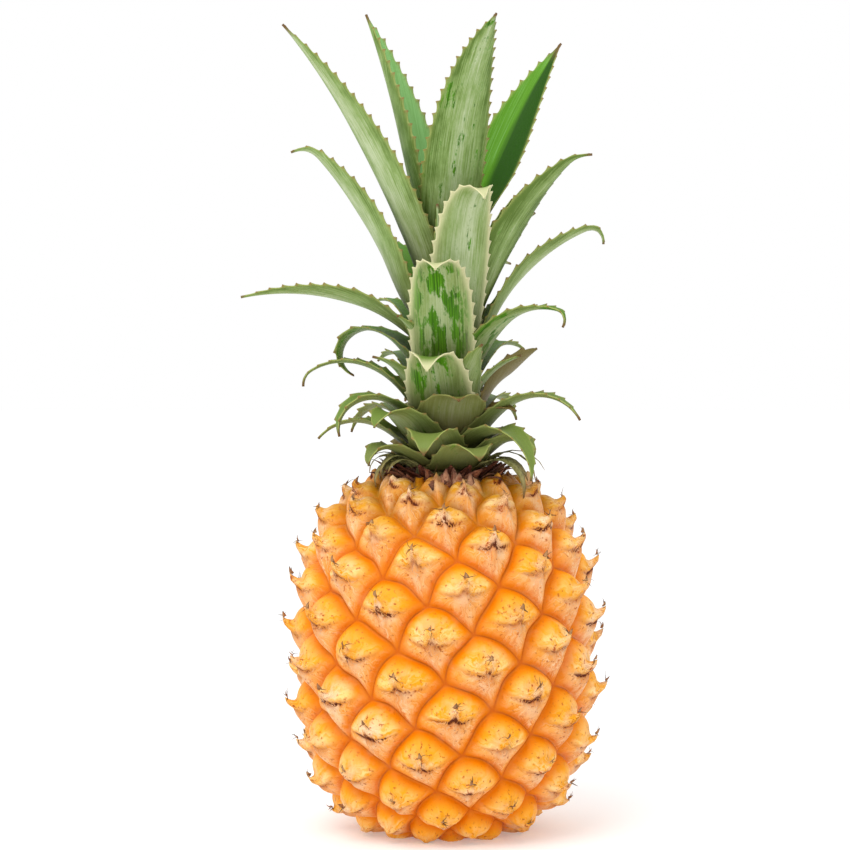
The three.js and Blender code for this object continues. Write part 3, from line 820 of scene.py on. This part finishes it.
    def skin_values(self, eye: np.ndarray, s: np.ndarray, t: np.ndarray) -> dict[str, np.ndarray]:
        """Works out the marks that the skin's material reads, with seeded differences between eyes.

        The bract is a throat that widens up to the lip. Pale falls off above the lip, papery and dry
        fall off round the ribs' middle, the crack is the lip, whose middle is painted dark as its shade,
        and young is the eyes near the crown, darkened as less ripe skin and as painted shade under the
        leaves.

        Args:
            eye: Eye numbers.
            s: Place along the shallow side of the cell.
            t: Place along the steep side.

        Returns:
            The marks by name.
        """
        marks = self.eye_marks(s, t)
        dome, above, far = marks["dome"], marks["above"], marks["far"]
        throat = bell(marks["x"], lerp(0.16, 0.75, smoothstep(marks["y"], -1.0, -0.1)))
        # Eyes near the crown: less ripe skin, and painted shade under the leaves.
        high = smoothstep(self.frames(eye, s, t)["point"][..., 2], *self.young_z)
        first, second, third, fourth = np.moveaxis(self.chance[eye - self.lowest_eye], -1, 0)
        ripe = lerp(1.0, 0.6, high)
        paleness = lerp(0.4, 1.0, second) * ripe * above * smoothstep(dome, 0.4, 0.9)
        return {
            "relief": dome,
            "bract": ripe * (1 - above) * throat * smoothstep(dome, 0.05, 0.5),
            "pale": paleness * bell(marks["past_lip"], 0.6),
            "papery": lerp(0.4, 1.0, third) * bell(far, lerp(0.35, 0.6, second)),
            "dry": lerp(0.35, 0.9, fourth) * bell(far, 0.3),
            # Brown band along the lip; the material paints its middle dark as the crease's shade.
            "crack_and_shade": np.minimum(lerp(0.5, 1.4, third) * marks["lip"] * dome, 1),
            "chance": first,
            "young": 1.5 * high,
        }

    def make_skin(self, material: bpy.types.Material) -> bpy.types.Object:
        """Builds the skin: a square grid for each eye, whose far sides are the next eyes' near sides.

        Args:
            material: The skin's material.

        Returns:
            The piece.
        """
        n = self.cell_faces
        steps = np.arange(n) / n - 0.5
        eyes = np.arange(self.lowest_eye, self.highest_eye + NEIGHBOURS)
        eye, s, t = np.meshgrid(eyes, steps, steps, indexing="ij")

        def number(eye: np.ndarray, p: np.ndarray, q: np.ndarray) -> np.ndarray:
            """Gives the vertex at grid place (p, q) of an eye, carried on to the next eyes."""
            eye = eye + np.where(p == n, SHALLOW_ROWS, 0) + np.where(q == n, STEEP_ROWS, 0)
            return (eye - self.lowest_eye) * n * n + (p % n) * n + q % n

        own = np.arange(self.lowest_eye, self.highest_eye + 1)
        e, p, q = (a.ravel() for a in np.meshgrid(own, np.arange(n), np.arange(n), indexing="ij"))
        corners = [(p, q), (p, q + 1), (p + 1, q + 1), (p + 1, q)]
        used, faces = np.unique(np.stack([number(e, *corner) for corner in corners], -1), return_inverse=True)
        uv = np.stack([np.stack(self.eye_place(a / n - 0.5, b / n - 0.5), -1) for a, b in corners], 1)
        points = self.skin_points(eye, s, t).reshape(-1, 3)[used]
        values = {mark: value.ravel()[used] for mark, value in self.skin_values(eye, s, t).items()}
        points, faces, values, uv = self.close_ends(points, faces.reshape(-1, 4), values, uv)
        rho = np.hypot(points[:, 0], points[:, 1])
        at_end = 1 - smoothstep(rho, self.cut_end_radius - 0.4, self.cut_end_radius + 0.4)
        values["cut"] = at_end * (points[:, 2] < self.centre_z)
        piece = make_piece("fruit_skin", points, faces, material, uv, values)
        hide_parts("fruit")
        return piece

    def make_points(self, material: bpy.types.Material) -> bpy.types.Object:
        """Builds the dried hooked end of each eye's bract, which rises from the eye's point.

        Args:
            material: The ends' material.

        Returns:
            The piece.
        """
        axes, base, size, rng = self.eye_middles(1)
        along = 0.8 * axes["out"] + 0.8 * axes["up"] + rng.normal(0, 0.2, base.shape)
        towards = axes["up"] + 0.25 * rng.normal(size=base.shape)
        length = size * rng.uniform(*self.dry_length, len(size))
        width = size * rng.uniform(*self.dry_width, len(size))
        curl = rng.uniform(*self.dry_curl, len(size))
        strips = ribbons(base, along, towards, length, width, self.dry_thickness, curl, self.dry_stations)
        return make_piece("bract_points", strips[0], strips[1], material, strips[2])

    def make_threads(self, material: bpy.types.Material) -> bpy.types.Object:
        """Builds the dead flower's curled threads round each point.

        Args:
            material: The threads' material.

        Returns:
            The piece.
        """
        axes, base, size, rng = self.eye_middles(self.threads)
        spread = axes["side"] * rng.normal(0, 0.9, (len(size), 1))
        spread = spread + axes["up"] * rng.normal(0.1, 0.7, (len(size), 1))
        base = base + 0.5 * spread
        along = 0.3 * axes["out"] + spread
        length = size * rng.uniform(*self.thread_length, len(size))
        curl = rng.uniform(*self.thread_curl, len(size))
        width = rng.uniform(*self.thread_width, len(size))
        towards = rng.normal(0, 1, base.shape) - 0.4 * axes["out"]
        thickness, stations = self.thread_thickness, self.thread_stations
        strips = ribbons(base, along, towards, length, width, thickness, curl, stations)
        return make_piece("dry_threads", strips[0], strips[1], material, strips[2])

    def eye_middles(self, repeats: int) -> tuple[dict, np.ndarray, np.ndarray, np.random.Generator]:
        """Gives the directions, the foot and the size at each eye's point, and a seeded generator.

        Args:
            repeats: How often each eye is taken.

        Returns:
            The outline's axes, points just under the finished skin, sizes, and the generator.
        """
        pointed = np.arange(self.lowest_eye + self.plain_low, self.highest_eye - self.plain_high)
        eye = np.repeat(pointed, repeats)
        middle = np.zeros(len(eye))
        axes = self.frames(eye, middle, middle)
        foot = self.skin_points(eye, middle, middle) - self.foot_depth * axes["out"]
        return axes, foot, axes["size"], np.random.default_rng(self.seed + repeats)

    def close_ends(
        self, points: np.ndarray, faces: np.ndarray, values: dict[str, np.ndarray], uv: np.ndarray
    ) -> tuple[np.ndarray, np.ndarray, dict[str, np.ndarray], np.ndarray]:
        """Closes both open rims with rings that shrink to the axis, and a last ring of triangles.

        The rings lie at set radii, on both sides of each step in the underside and the seat, or a
        little inside the one before where the rim is nearer to the axis than that. Their heights
        are the smooth outline's, shaped as the rest of the skin is.

        Args:
            points: The skin's points.
            faces: Its faces.
            values: Its marks, a number for each point.
            uv: The UV of its faces' corners.

        Returns:
            The same four with the ends added.
        """
        directed = np.stack([faces, np.roll(faces, -1, 1)], -1).reshape(-1, 2)
        first, counts = np.unique(np.sort(directed, 1), axis=0, return_index=True, return_counts=True)[1:]
        rim, place = np.unique(directed[first[counts == 1]], return_inverse=True)
        here, there = place.reshape(-1, 2).T
        edge = points[rim]
        rho = np.hypot(edge[:, 0], edge[:, 1])
        top = edge[:, 2] > self.centre_z
        half = self.outline_steps // 2
        number = np.arange(len(self.under_rings) + 1)[1:, None]
        radii = np.where(top, np.array(self.seat_rings)[:, None], np.array(self.under_rings)[:, None])
        radii = np.minimum(rho * (1 - self.ring_step * number), radii)
        low = np.interp(radii, self.r[: half + 1], self.z[: half + 1])
        high = np.interp(radii, self.r[half:][::-1], self.z[half:][::-1])
        rings = np.stack([edge[:, 0] * radii / rho, edge[:, 1] * radii / rho, np.where(top, high, low)], -1)
        rings = self.shape_ends(rings).reshape(-1, 3)

        start, count = len(points), len(rim)
        numbers = np.vstack([rim, start + np.arange(len(rings)).reshape(-1, count)])
        outer, inner = numbers[:-1], numbers[1:]
        sides = np.stack([outer[:, there], outer[:, here], inner[:, here], inner[:, there]], -1)
        sides = sides.reshape(-1, 4)
        middle = start + len(rings) + top[here].astype(int)
        fans = np.stack([numbers[-1, there], numbers[-1, here], middle, middle], -1)
        points = np.vstack([points, rings, [[0, 0, 0.0], [0, 0, self.socket_z]]])
        values = {
            mark: np.concatenate([value, np.tile(value[rim], len(number)), [0.0, 0.0]])
            for mark, value in values.items()
        }
        uv = np.vstack([uv, np.zeros((len(sides) + len(fans), 4, 2))])
        return points, np.vstack([faces, sides, fans]), values, uv


@dataclass(frozen=True)
class LeafForm:
    """The form of one leaf, in millimetres and degrees.

    It is turned by aside from its place in the spiral. Its lean goes from foot_lean to tip_lean with
    the power bend of the share of the length, and belly at the foot and hook at the dried end are
    added. Its width falls with the power fullness. It swings sideways along its length and twists
    about it. fold is half the angle of its channel, which is foot_fold at the foot.
    """

    aside: float = 0
    length: float = 50
    width: float = 19
    foot_lean: float = 20
    tip_lean: float = 100
    bend: float = 1.3
    fullness: float = 1.2
    swing: float = 0
    twist: float = 0
    fold: float = 32
    foot_fold: float = 52
    belly: float = 12
    hook: float = 0


# How a leaf's form differs from the rule that goes from the lowest to the highest.
SHAPED_LEAVES = {
    1: dict(length=24, width=22, tip_lean=150, bend=2.2, fullness=2.6),
    2: dict(length=26, width=20, tip_lean=170, bend=2, fullness=2),
    3: dict(length=22, width=22, tip_lean=190, bend=2, fullness=2.2),
    4: dict(aside=-5, length=26, width=22, tip_lean=185, bend=2.2, fullness=2.4),
    5: dict(length=30, width=20),
    6: dict(length=29, width=22, tip_lean=175, bend=2, fullness=2.4),
    7: dict(length=32, width=20),
    8: dict(aside=-5, length=38, width=22, tip_lean=140, fullness=0.9),
    9: dict(aside=4, length=41, width=22, tip_lean=190, bend=1.2),
    11: dict(length=29, width=24, tip_lean=160, bend=2.2, fullness=2.6),
    12: dict(aside=-25, length=47, width=25, tip_lean=150, bend=1.6, fullness=0.9, swing=-5, belly=5),
    14: dict(length=27, width=27, tip_lean=115, bend=2.4, fullness=3.4),
    16: dict(aside=0, length=39, width=26, tip_lean=195, bend=1.5, fullness=1.8, belly=5),
    17: dict(length=20, width=18, tip_lean=120, twist=20),
    19: dict(aside=15, length=40, width=25, tip_lean=165, bend=3.5, fullness=3),
    20: dict(aside=0, length=34, width=24, tip_lean=58, bend=0.7, fullness=2.5, twist=-40, belly=8),
    21: dict(aside=12, length=51, width=22, tip_lean=140, fullness=0.7, belly=5, hook=40),
    22: dict(aside=-5, length=32, tip_lean=60),
    24: dict(length=27, tip_lean=80),
    25: dict(length=24, width=17, tip_lean=75),
    26: dict(length=36),
    27: dict(length=61, width=23, tip_lean=130, bend=5, fullness=5),
    28: dict(length=36),
    29: dict(aside=-15, length=52, width=30, tip_lean=250, bend=2, fullness=1.5, belly=5),
    30: dict(aside=5, length=57, width=27, tip_lean=118, bend=1.3, fullness=1, belly=8, hook=90),
    31: dict(width=17, belly=0),
    32: dict(length=29, width=16, tip_lean=70),
    33: dict(aside=4, length=76, width=24, tip_lean=79, fullness=1.6, twist=-25, belly=9, hook=100),
    34: dict(aside=-20, length=44, width=18),
    35: dict(aside=1, length=76, width=21, tip_lean=150, bend=6, fullness=5),
    37: dict(aside=-15, length=70, width=28, tip_lean=102, bend=0.55, fullness=1.3, twist=15, belly=6),
    38: dict(length=84, width=28, foot_lean=10, tip_lean=58, fullness=1.5, twist=-25, belly=12, hook=30),
    39: dict(width=18, belly=25),
    40: dict(aside=10, length=50, width=11, tip_lean=25),
    41: dict(length=54, tip_lean=60),
    42: dict(
        aside=10, length=82, width=30, foot_lean=8, tip_lean=50,
        bend=1.1, fullness=1.8, twist=25, belly=32, hook=60,
    ),
    43: dict(length=52, width=15, tip_lean=30),
    45: dict(
        aside=-15, length=114, width=25, foot_lean=13, tip_lean=45, fullness=2, bend=1, twist=10, belly=0,
    ),
    46: dict(length=50, tip_lean=45),
    47: dict(aside=8, length=44, width=11, tip_lean=20, belly=0),
    48: dict(
        aside=7, length=113, width=24, tip_lean=60, bend=1.4, fullness=3.2, swing=10, fold=26, belly=0,
    ),
    49: dict(
        aside=-20, length=100, width=30, tip_lean=36, bend=0.6, fullness=2.2, twist=30, fold=34, belly=0,
    ),
    50: dict(
        aside=-25, length=100, width=40, tip_lean=21, bend=1.4,
        fullness=2, twist=-3, fold=74, foot_fold=74, belly=8,
    ),
}
# How far the scurf is rubbed off a leaf in patches, from 0 to 1, where the photo shows it.
RUBBED_LEAVES = {19: 0.75, 27: 1.0, 29: 0.7, 30: 0.8, 48: 0.5, 49: 0.15, 50: 0.1, 45: 0.2}
# The leaves whose rims and torn tops are cream.
CREAM_TOPS = (19, 27, 35)
# How far a whole leaf is withered, from 0 to 1.
WITHERED_LEAVES = {2: 0.6, 5: 0.5, 7: 0.45, 14: 0.35, 17: 0.8, 20: 0.7}
# How dark the inner side of a leaf is, from 0 to 1, on its left and right half as it is seen.
# The darker right half of leaf 49 is painted shade in its folded channel.
DEEP_AND_SHADED_LEAVES = {20: (0.7, 0.7), 49: (0.25, 0.9), 50: (0.0, 0.0)}
# How much paler than the others a leaf's outer side is, or darker where it is under 0.
TONED_LEAVES = {27: 0.08, 35: 0.1, 38: -0.14, 42: 0.04, 45: 0.03, 48: -0.02, 37: -0.04}


@dataclass
class Crown:
    """The crown's leaves, on a golden-angle spiral round a tapered stem."""

    base_z: float = 121
    leaf_count: int = 50
    first_turn: float = 290
    first_height: float = 2
    rise: float = 0.75
    rise_growth: float = 0.0085
    foot_radius: float = 12.4
    tip_foot_radius: float = 3.5
    stem_height: float = 60
    clasp: float = 55
    wrapped: float = 0.75
    unwrapped: float = 1.5
    thickness: float = 0.9
    edge_thickness: float = 0.34
    tip_width: float = 0.8
    taper: float = 1.1
    tooth_spacing: float = 4.4
    tooth_height: float = 1.3
    tooth_places: tuple[float, ...] = (0, 0.35, 0.6, 0.8, 0.88)
    tooth_outs: tuple[float, ...] = (0, 0.22, 0.55, 1.0, 0.1)
    most_tooth: float = 0.22
    columns: tuple[float, ...] = (1, 0.93, 0.8, 0.6, 0.4, 0.18, 0, -0.18, -0.4, -0.6, -0.8, -0.93, -1)
    uv_scale: float = 0.01
    steps: int = 160
    seed: int = 5
    finish: LeafFinish = field(default_factory=LeafFinish)

    def form(self, number: int) -> LeafForm:
        """Gives a leaf's form: evenly between the lowest leaf's and the highest's, or its own.

        Args:
            number: The leaf's number, from 1.

        Returns:
            The form.
        """
        share = (number - 1) / (self.leaf_count - 1)
        rule = LeafForm(
            length=lerp(28, 72, share),
            width=lerp(20, 24, share),
            foot_lean=lerp(7, 42, (1 - share) ** 1.2),
            tip_lean=lerp(190, 62, share),
            fullness=lerp(1.1, 1.4, share),
        )
        return replace(rule, **SHAPED_LEAVES.get(number, {}))

    def rows(self, length: float) -> tuple[np.ndarray, np.ndarray]:
        """Places a blade's rings, a few to each tooth.

        Args:
            length: The blade's length.

        Returns:
            The shares of the length where it has a ring, and how far its tooth is out at each.
        """
        teeth = max(3, round(length / self.tooth_spacing))
        share = (np.arange(teeth)[:, None] + np.array(self.tooth_places)).ravel() / teeth
        return np.append(share, 1.0), np.append(np.tile(self.tooth_outs, teeth), 0.0)

    @staticmethod
    def lean(form: LeafForm, share: np.ndarray) -> np.ndarray:
        """Gives the blade's lean along it: the foot's belly, the arch, and the dried end's hook.

        Args:
            form: The leaf's form.
            share: Shares of the length.

        Returns:
            Degrees from upright.
        """
        arch = lerp(form.foot_lean, form.tip_lean, share**form.bend)
        return arch + form.belly * (1 - smoothstep(share, 0, 0.35)) + form.hook * smoothstep(share, 0.86, 1)

    @staticmethod
    def direction(lean: np.ndarray, swing: np.ndarray) -> np.ndarray:
        """Gives unit vectors that lean from upright towards +X, swung round Z.

        Args:
            lean: Degrees from upright.
            swing: Degrees round Z.

        Returns:
            A row for each vector.
        """
        lean, swing = np.radians(lean), np.radians(swing)
        out = np.sin(lean)
        return np.stack([out * np.cos(swing), out * np.sin(swing), np.cos(lean)], -1)

    def blade(self, form: LeafForm, foot: float) -> tuple[np.ndarray, np.ndarray, np.ndarray, dict]:
        """Works out one blade in its own frame, with its foot at a radius on +X.

        The middle line is the sum of short steps whose lean goes from the foot's to the tip's. Across
        it the blade is an arc: near the axis it wraps round the axis, and further out it keeps its
        own channel. The two faces lie half the thickness to each side, and the teeth push the rims out.

        Args:
            form: The leaf's form.
            foot: The foot's distance from the axis.

        Returns:
            Vertices, faces, the corners' UV, and the marks.
        """
        share, tooth = self.rows(form.length)
        middle = (np.arange(self.steps) + 0.5) / self.steps
        growth = self.direction(self.lean(form, middle), form.swing * middle)
        path = np.vstack([[0, 0, 0], np.cumsum(growth, 0)]) * form.length / self.steps
        path[:, 0] += foot
        reached = np.linspace(0, 1, self.steps + 1)
        point = np.stack([np.interp(share, reached, path[:, i]) for i in range(3)], -1)

        clasp = math.radians(self.clasp)
        fold = np.radians(lerp(form.foot_fold, form.fold, smoothstep(share, 0, 0.6)))
        radius = np.hypot(point[:, 0], point[:, 1])
        tapered = np.maximum(self.tip_width, form.width * (1 - share**form.fullness) ** self.taper)
        width = np.minimum(tapered, 2 * clasp * radius)
        half_angle = np.maximum(fold, np.minimum(width / (2 * radius), clasp))
        free = form.width / (2 * math.radians(form.fold))
        hug = 1 - smoothstep(radius, self.wrapped * free, self.unwrapped * free)

        lean = self.lean(form, share)
        swing = form.swing * share
        outward = self.direction(np.full_like(share, 90), swing)
        inner = self.direction(lean - 90, swing)
        inner = unit(lerp(inner, -outward, hug[:, None]))
        across = np.stack([-outward[:, 1], outward[:, 0], np.zeros_like(share)], -1)
        turned = math.radians(form.twist) * smoothstep(share, 0.05, 0.65)[:, None]
        sideways = across * np.cos(turned) + inner * np.sin(turned)
        upper = inner * np.cos(turned) - across * np.sin(turned)

        columns = np.array(self.columns)
        angle = columns[None, :, None] * half_angle[:, None, None]
        curve = (width / (2 * half_angle))[:, None, None]
        along = sideways[:, None] * np.cos(angle) + upper[:, None] * np.sin(angle)
        normal = upper[:, None] * np.cos(angle) - sideways[:, None] * np.sin(angle)
        reach = tooth * np.minimum(self.tooth_height, self.most_tooth * width)
        at_rim = (np.abs(columns) == 1) * np.sign(columns)
        surface = (
            point[:, None]
            + sideways[:, None] * curve * np.sin(angle)
            + upper[:, None] * curve * (1 - np.cos(angle))
            + along * (reach[:, None] * at_rim)[..., None]
        )
        thick = lerp(self.thickness, self.edge_thickness, np.abs(columns) ** 2) / 2
        thick = thick[None, :, None] * np.ones((len(share), 1, 1))
        rings = np.concatenate([surface + normal * thick, (surface - normal * thick)[:, ::-1]], 1)
        vertices = rings.reshape(-1, 3)

        size, count = rings.shape[1], len(share)
        i, k = (a.ravel() for a in np.meshgrid(np.arange(count - 1), np.arange(size), indexing="ij"))
        a, b = i * size + k, i * size + (k + 1) % size
        sides = np.stack([a, b, b + size, a + size], -1)
        c = np.arange(len(columns) - 1)
        cap = np.stack([c, size - 1 - c, size - 2 - c, c + 1], -1)
        last = (count - 1) * size
        faces = np.vstack([sides, cap, last + cap[:, ::-1]])

        both = np.concatenate([columns, columns[::-1]])
        marks = {
            "edge": np.tile(np.abs(both), count),
            "inside": np.tile(np.repeat([1.0, 0.0], len(columns)), count),
            "share": np.repeat(share, size),
            # Which side of the middle a point lies on, so that one half can take painted shade.
            "half": np.tile(np.sign(both), count),
            "tooth": np.outer(smoothstep(tooth, 0.5, 1.0), np.abs(both) == 1).ravel(),
        }
        flat = [np.outer(width, both).ravel() / 2, np.repeat(share * form.length, size)]
        flat = np.stack(flat, -1) * self.uv_scale
        return vertices, faces, flat[faces], marks

    def make_leaves(self, material: bpy.types.Material) -> None:
        """Builds every leaf in its place, each for its CAD node.

        Args:
            material: The leaves' material.
        """
        rng = np.random.default_rng(self.seed)
        for number in range(1, self.leaf_count + 1):
            form, index = self.form(number), number - 1
            height = self.first_height + self.rise * index + self.rise_growth * index * index
            foot = lerp(self.foot_radius, self.tip_foot_radius, min(height / self.stem_height, 1))
            vertices, faces, uv, marks = self.blade(form, foot)
            turn = math.radians(self.first_turn + index * GOLDEN_ANGLE + form.aside)
            cos, sin = math.cos(turn), math.sin(turn)
            spin = np.array([[cos, -sin, 0], [sin, cos, 0], [0, 0, 1]])
            vertices = vertices @ spin.T + [0, 0, self.base_z + height]
            withered = WITHERED_LEAVES.get(number, 0.0)
            tip_dry = rng.uniform(0.02, 0.1)
            even = np.ones(len(vertices))
            cream = number in CREAM_TOPS
            marks["dry"] = np.maximum(smoothstep(marks["share"], 1 - tip_dry, 1.0) * (not cream), withered)
            cream_end = 0.8 * smoothstep(marks["share"], 0.85, 0.97)
            marks["cream"] = cream * np.maximum(cream_end, marks["edge"] ** 8)
            marks["rubbed"] = even * RUBBED_LEAVES.get(number, rng.uniform(0.1, 0.4))
            marks["age"] = even * 0.85 * (1 - index / self.leaf_count) ** 1.6
            # Each half of the inner side takes its own darkness; on leaf 49 the darker right half is painted
            # shade.
            left, right = DEEP_AND_SHADED_LEAVES.get(number, (0.4, 0.4))
            marks["deep"] = lerp(right, left, (marks["half"] + 1) / 2)
            marks["tone"] = even * (TONED_LEAVES.get(number, 0.0) + rng.uniform(-0.02, 0.02))
            uv = uv + rng.uniform(0, 10, 2)
            name = f"leaf_{number:02d}"
            piece = make_piece(f"{name}_blade", vertices, faces, material, uv, marks)
            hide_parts(name)


@dataclass(frozen=True)
class Tuft:
    """A bed of withered strips round the foot of the crown. Pairs are the smallest and the largest.

    A strip starts upwards, leans out by the share in outward, and curls over to the outside.
    """

    name: str
    count: int
    seed: int
    length: tuple[float, float]
    width: tuple[float, float]
    curl: tuple[float, float]
    turns: tuple[float, float] = (0, 360)
    radii: tuple[float, float] = (15.7, 20)
    z: float = 119.8
    outward: tuple[float, float] = (0.1, 1.1)
    unruly: float = 0.25
    thickness: float = 0.5

    def make(self, material: bpy.types.Material) -> bpy.types.Object:
        """Builds the bed as one piece, with seeded places and sizes.

        Args:
            material: The strips' material.

        Returns:
            The piece.
        """
        rng = np.random.default_rng(self.seed)
        turn = np.radians(rng.uniform(*self.turns, self.count))
        out = np.stack([np.cos(turn), np.sin(turn), np.zeros(self.count)], -1)
        up = np.tile([0.0, 0.0, 1.0], (self.count, 1))
        foot = out * rng.uniform(*self.radii, (self.count, 1)) + up * self.z
        along = up + out * rng.uniform(*self.outward, (self.count, 1)) + rng.normal(0, self.unruly, out.shape)
        pairs = (self.length, self.width, self.curl)
        length, width, curl = (rng.uniform(*pair, self.count) for pair in pairs)
        vertices, faces, uv = ribbons(foot, along, out, length, width, self.thickness, curl, 8)
        return make_piece(self.name, vertices, faces, material, uv)


SCRAPS = Tuft("collar_scraps", 64, 8, length=(5, 11), width=(2.2, 5.2), curl=(20, 100))
FIBRES = Tuft(
    "collar_fibres", 170, 9, length=(3, 8), width=(0.3, 0.7), curl=(20, 160), unruly=0.5, thickness=0.25
)
LEFT_RAGS = Tuft(
    "left_withered_leaves", 8, 3, length=(13, 20), width=(6, 9), curl=(110, 170),
    turns=(190, 225), radii=(12, 15), z=124.5, outward=(0.4, 0.9), unruly=0.2,
)
RIGHT_RAGS = Tuft(
    "right_withered_leaves", 7, 4, length=(18, 27), width=(6, 9), curl=(110, 150),
    turns=(322, 350), radii=(12, 15), z=124.5, outward=(0.5, 0.9), unruly=0.15,
)
FRONT_BRACTS = Tuft(
    "front_papery_bracts", 9, 6, length=(6, 10), width=(3.5, 6), curl=(5, 50),
    turns=(256, 292), radii=(20, 22.5), z=116.5, outward=(0.1, 0.6), unruly=0.2,
)


@dataclass
class Studio:
    """A pale floor, soft light all round and a camera at the height of the crown's foot.

    The camera's sizes are millimetres and degrees. The floor's and the lamp's are metres and watts.
    """

    distance: float = 1000
    elevation: float = 3
    aim_x: float = -6.95
    aim_z: float = 138
    lens: float = 125
    sensor: float = 36
    floor: str = "EBEBEB"
    floor_glow: float = 0.22
    floor_half: float = 3
    world_strength: float = 1
    key_size: float = 0.7
    key_power: float = 6
    key_place: tuple[float, float, float] = (-0.35, -0.6, 1.0)
    key_turn: tuple[float, float, float] = (38, 0, -30)

    def make_camera(self) -> None:
        """Places the camera in front, a little above level, and aims it at the object."""
        data = bpy.data.cameras.new("camera")
        data.lens = self.lens
        data.sensor_width = self.sensor
        camera = bpy.data.objects.new("camera", data)
        tilt = math.radians(self.elevation)
        camera.location = (
            self.aim_x * MM,
            -self.distance * math.cos(tilt) * MM,
            (self.aim_z + self.distance * math.sin(tilt)) * MM,
        )
        camera.rotation_euler = (math.radians(90) - tilt, 0, 0)
        bpy.context.scene.collection.objects.link(camera)
        bpy.context.scene.camera = camera

    def make_floor(self) -> None:
        """Lays a wide matt white floor, lit a little from below so that it meets the white backdrop."""
        half = self.floor_half
        mesh = bpy.data.meshes.new("floor")
        corners = [(-half, -half, 0), (half, -half, 0), (half, half, 0), (-half, half, 0)]
        mesh.from_pydata(corners, [], [(0, 1, 2, 3)])
        material, tree = new_material("matt_white_board")
        board = add(tree, "ShaderNodeBsdfDiffuse", {"Color": linear(self.floor)})
        glow = add(tree, "ShaderNodeEmission", {"Strength": self.floor_glow})
        finish_surface(tree, add(tree, "ShaderNodeAddShader", {0: board.outputs[0], 1: glow.outputs[0]}))
        mesh.materials.append(material)
        floor = bpy.data.objects.new("floor", mesh)
        bpy.context.scene.collection.objects.link(floor)

    def make_lights(self) -> None:
        """Lights the scene with a white world and one large soft lamp above the left shoulder."""
        world = bpy.data.worlds.new("studio")
        bpy.context.scene.world = world
        world.use_nodes = True
        background = world.node_tree.nodes["Background"]
        background.inputs["Color"].default_value = (1, 1, 1, 1)
        background.inputs["Strength"].default_value = self.world_strength
        data = bpy.data.lights.new("key", "AREA")
        data.shape = "SQUARE"
        data.size = self.key_size
        data.energy = self.key_power
        lamp = bpy.data.objects.new("key", data)
        lamp.location = self.key_place
        lamp.rotation_euler = [math.radians(angle) for angle in self.key_turn]
        bpy.context.scene.collection.objects.link(lamp)
        bpy.context.scene.view_settings.view_transform = "Standard"

    def make(self) -> None:
        """Builds the whole stage."""
        self.make_camera()
        self.make_floor()
        self.make_lights()


def dress_node(name: str, material: bpy.types.Material) -> None:
    """Gives a CAD node a material in place of its own.

    Args:
        name: The node's name.
        material: The new material.
    """
    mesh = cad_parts[name].data
    mesh.materials.clear()
    mesh.materials.append(material)


def main() -> None:
    """Builds the classes in order."""
    logging.basicConfig(level=logging.INFO, format="%(message)s")
    Studio().make()
    fruit = Fruit()
    fruit.make_skin(fruit.finish.material())
    fruit.make_points(DryFinish("dry_bract_point", "B98A58", "8A5A34", "3A1E10").material())
    threads = DryFinish("dead_flower_thread", "8A6238", "4A2A16", "2A160C").material()
    fruit.make_threads(threads)
    FIBRES.make(threads)
    SCRAPS.make(DryFinish("withered_collar_scrap", "A0684A", "64301C", "34180E").material())
    rags = DryFinish("withered_leaf", "A6A466", "6C6C36", "8A6434").material()
    LEFT_RAGS.make(rags)
    RIGHT_RAGS.make(rags)
    FRONT_BRACTS.make(DryFinish("papery_pink_bract", "D2A07C", "8E5038", "4E2418").material())
    crown = Crown()
    crown.make_leaves(crown.finish.material())
    dress_node("crown_stem", DryFinish("crown_stem_fibre", "8E8A52", "6B6238", "6B6238").material())
    dress_node("collar_bracts", DryFinish("dry_collar_bract", "7A3F28", "4A2014", "2E140C").material())


if __name__ == "__main__":
    main()
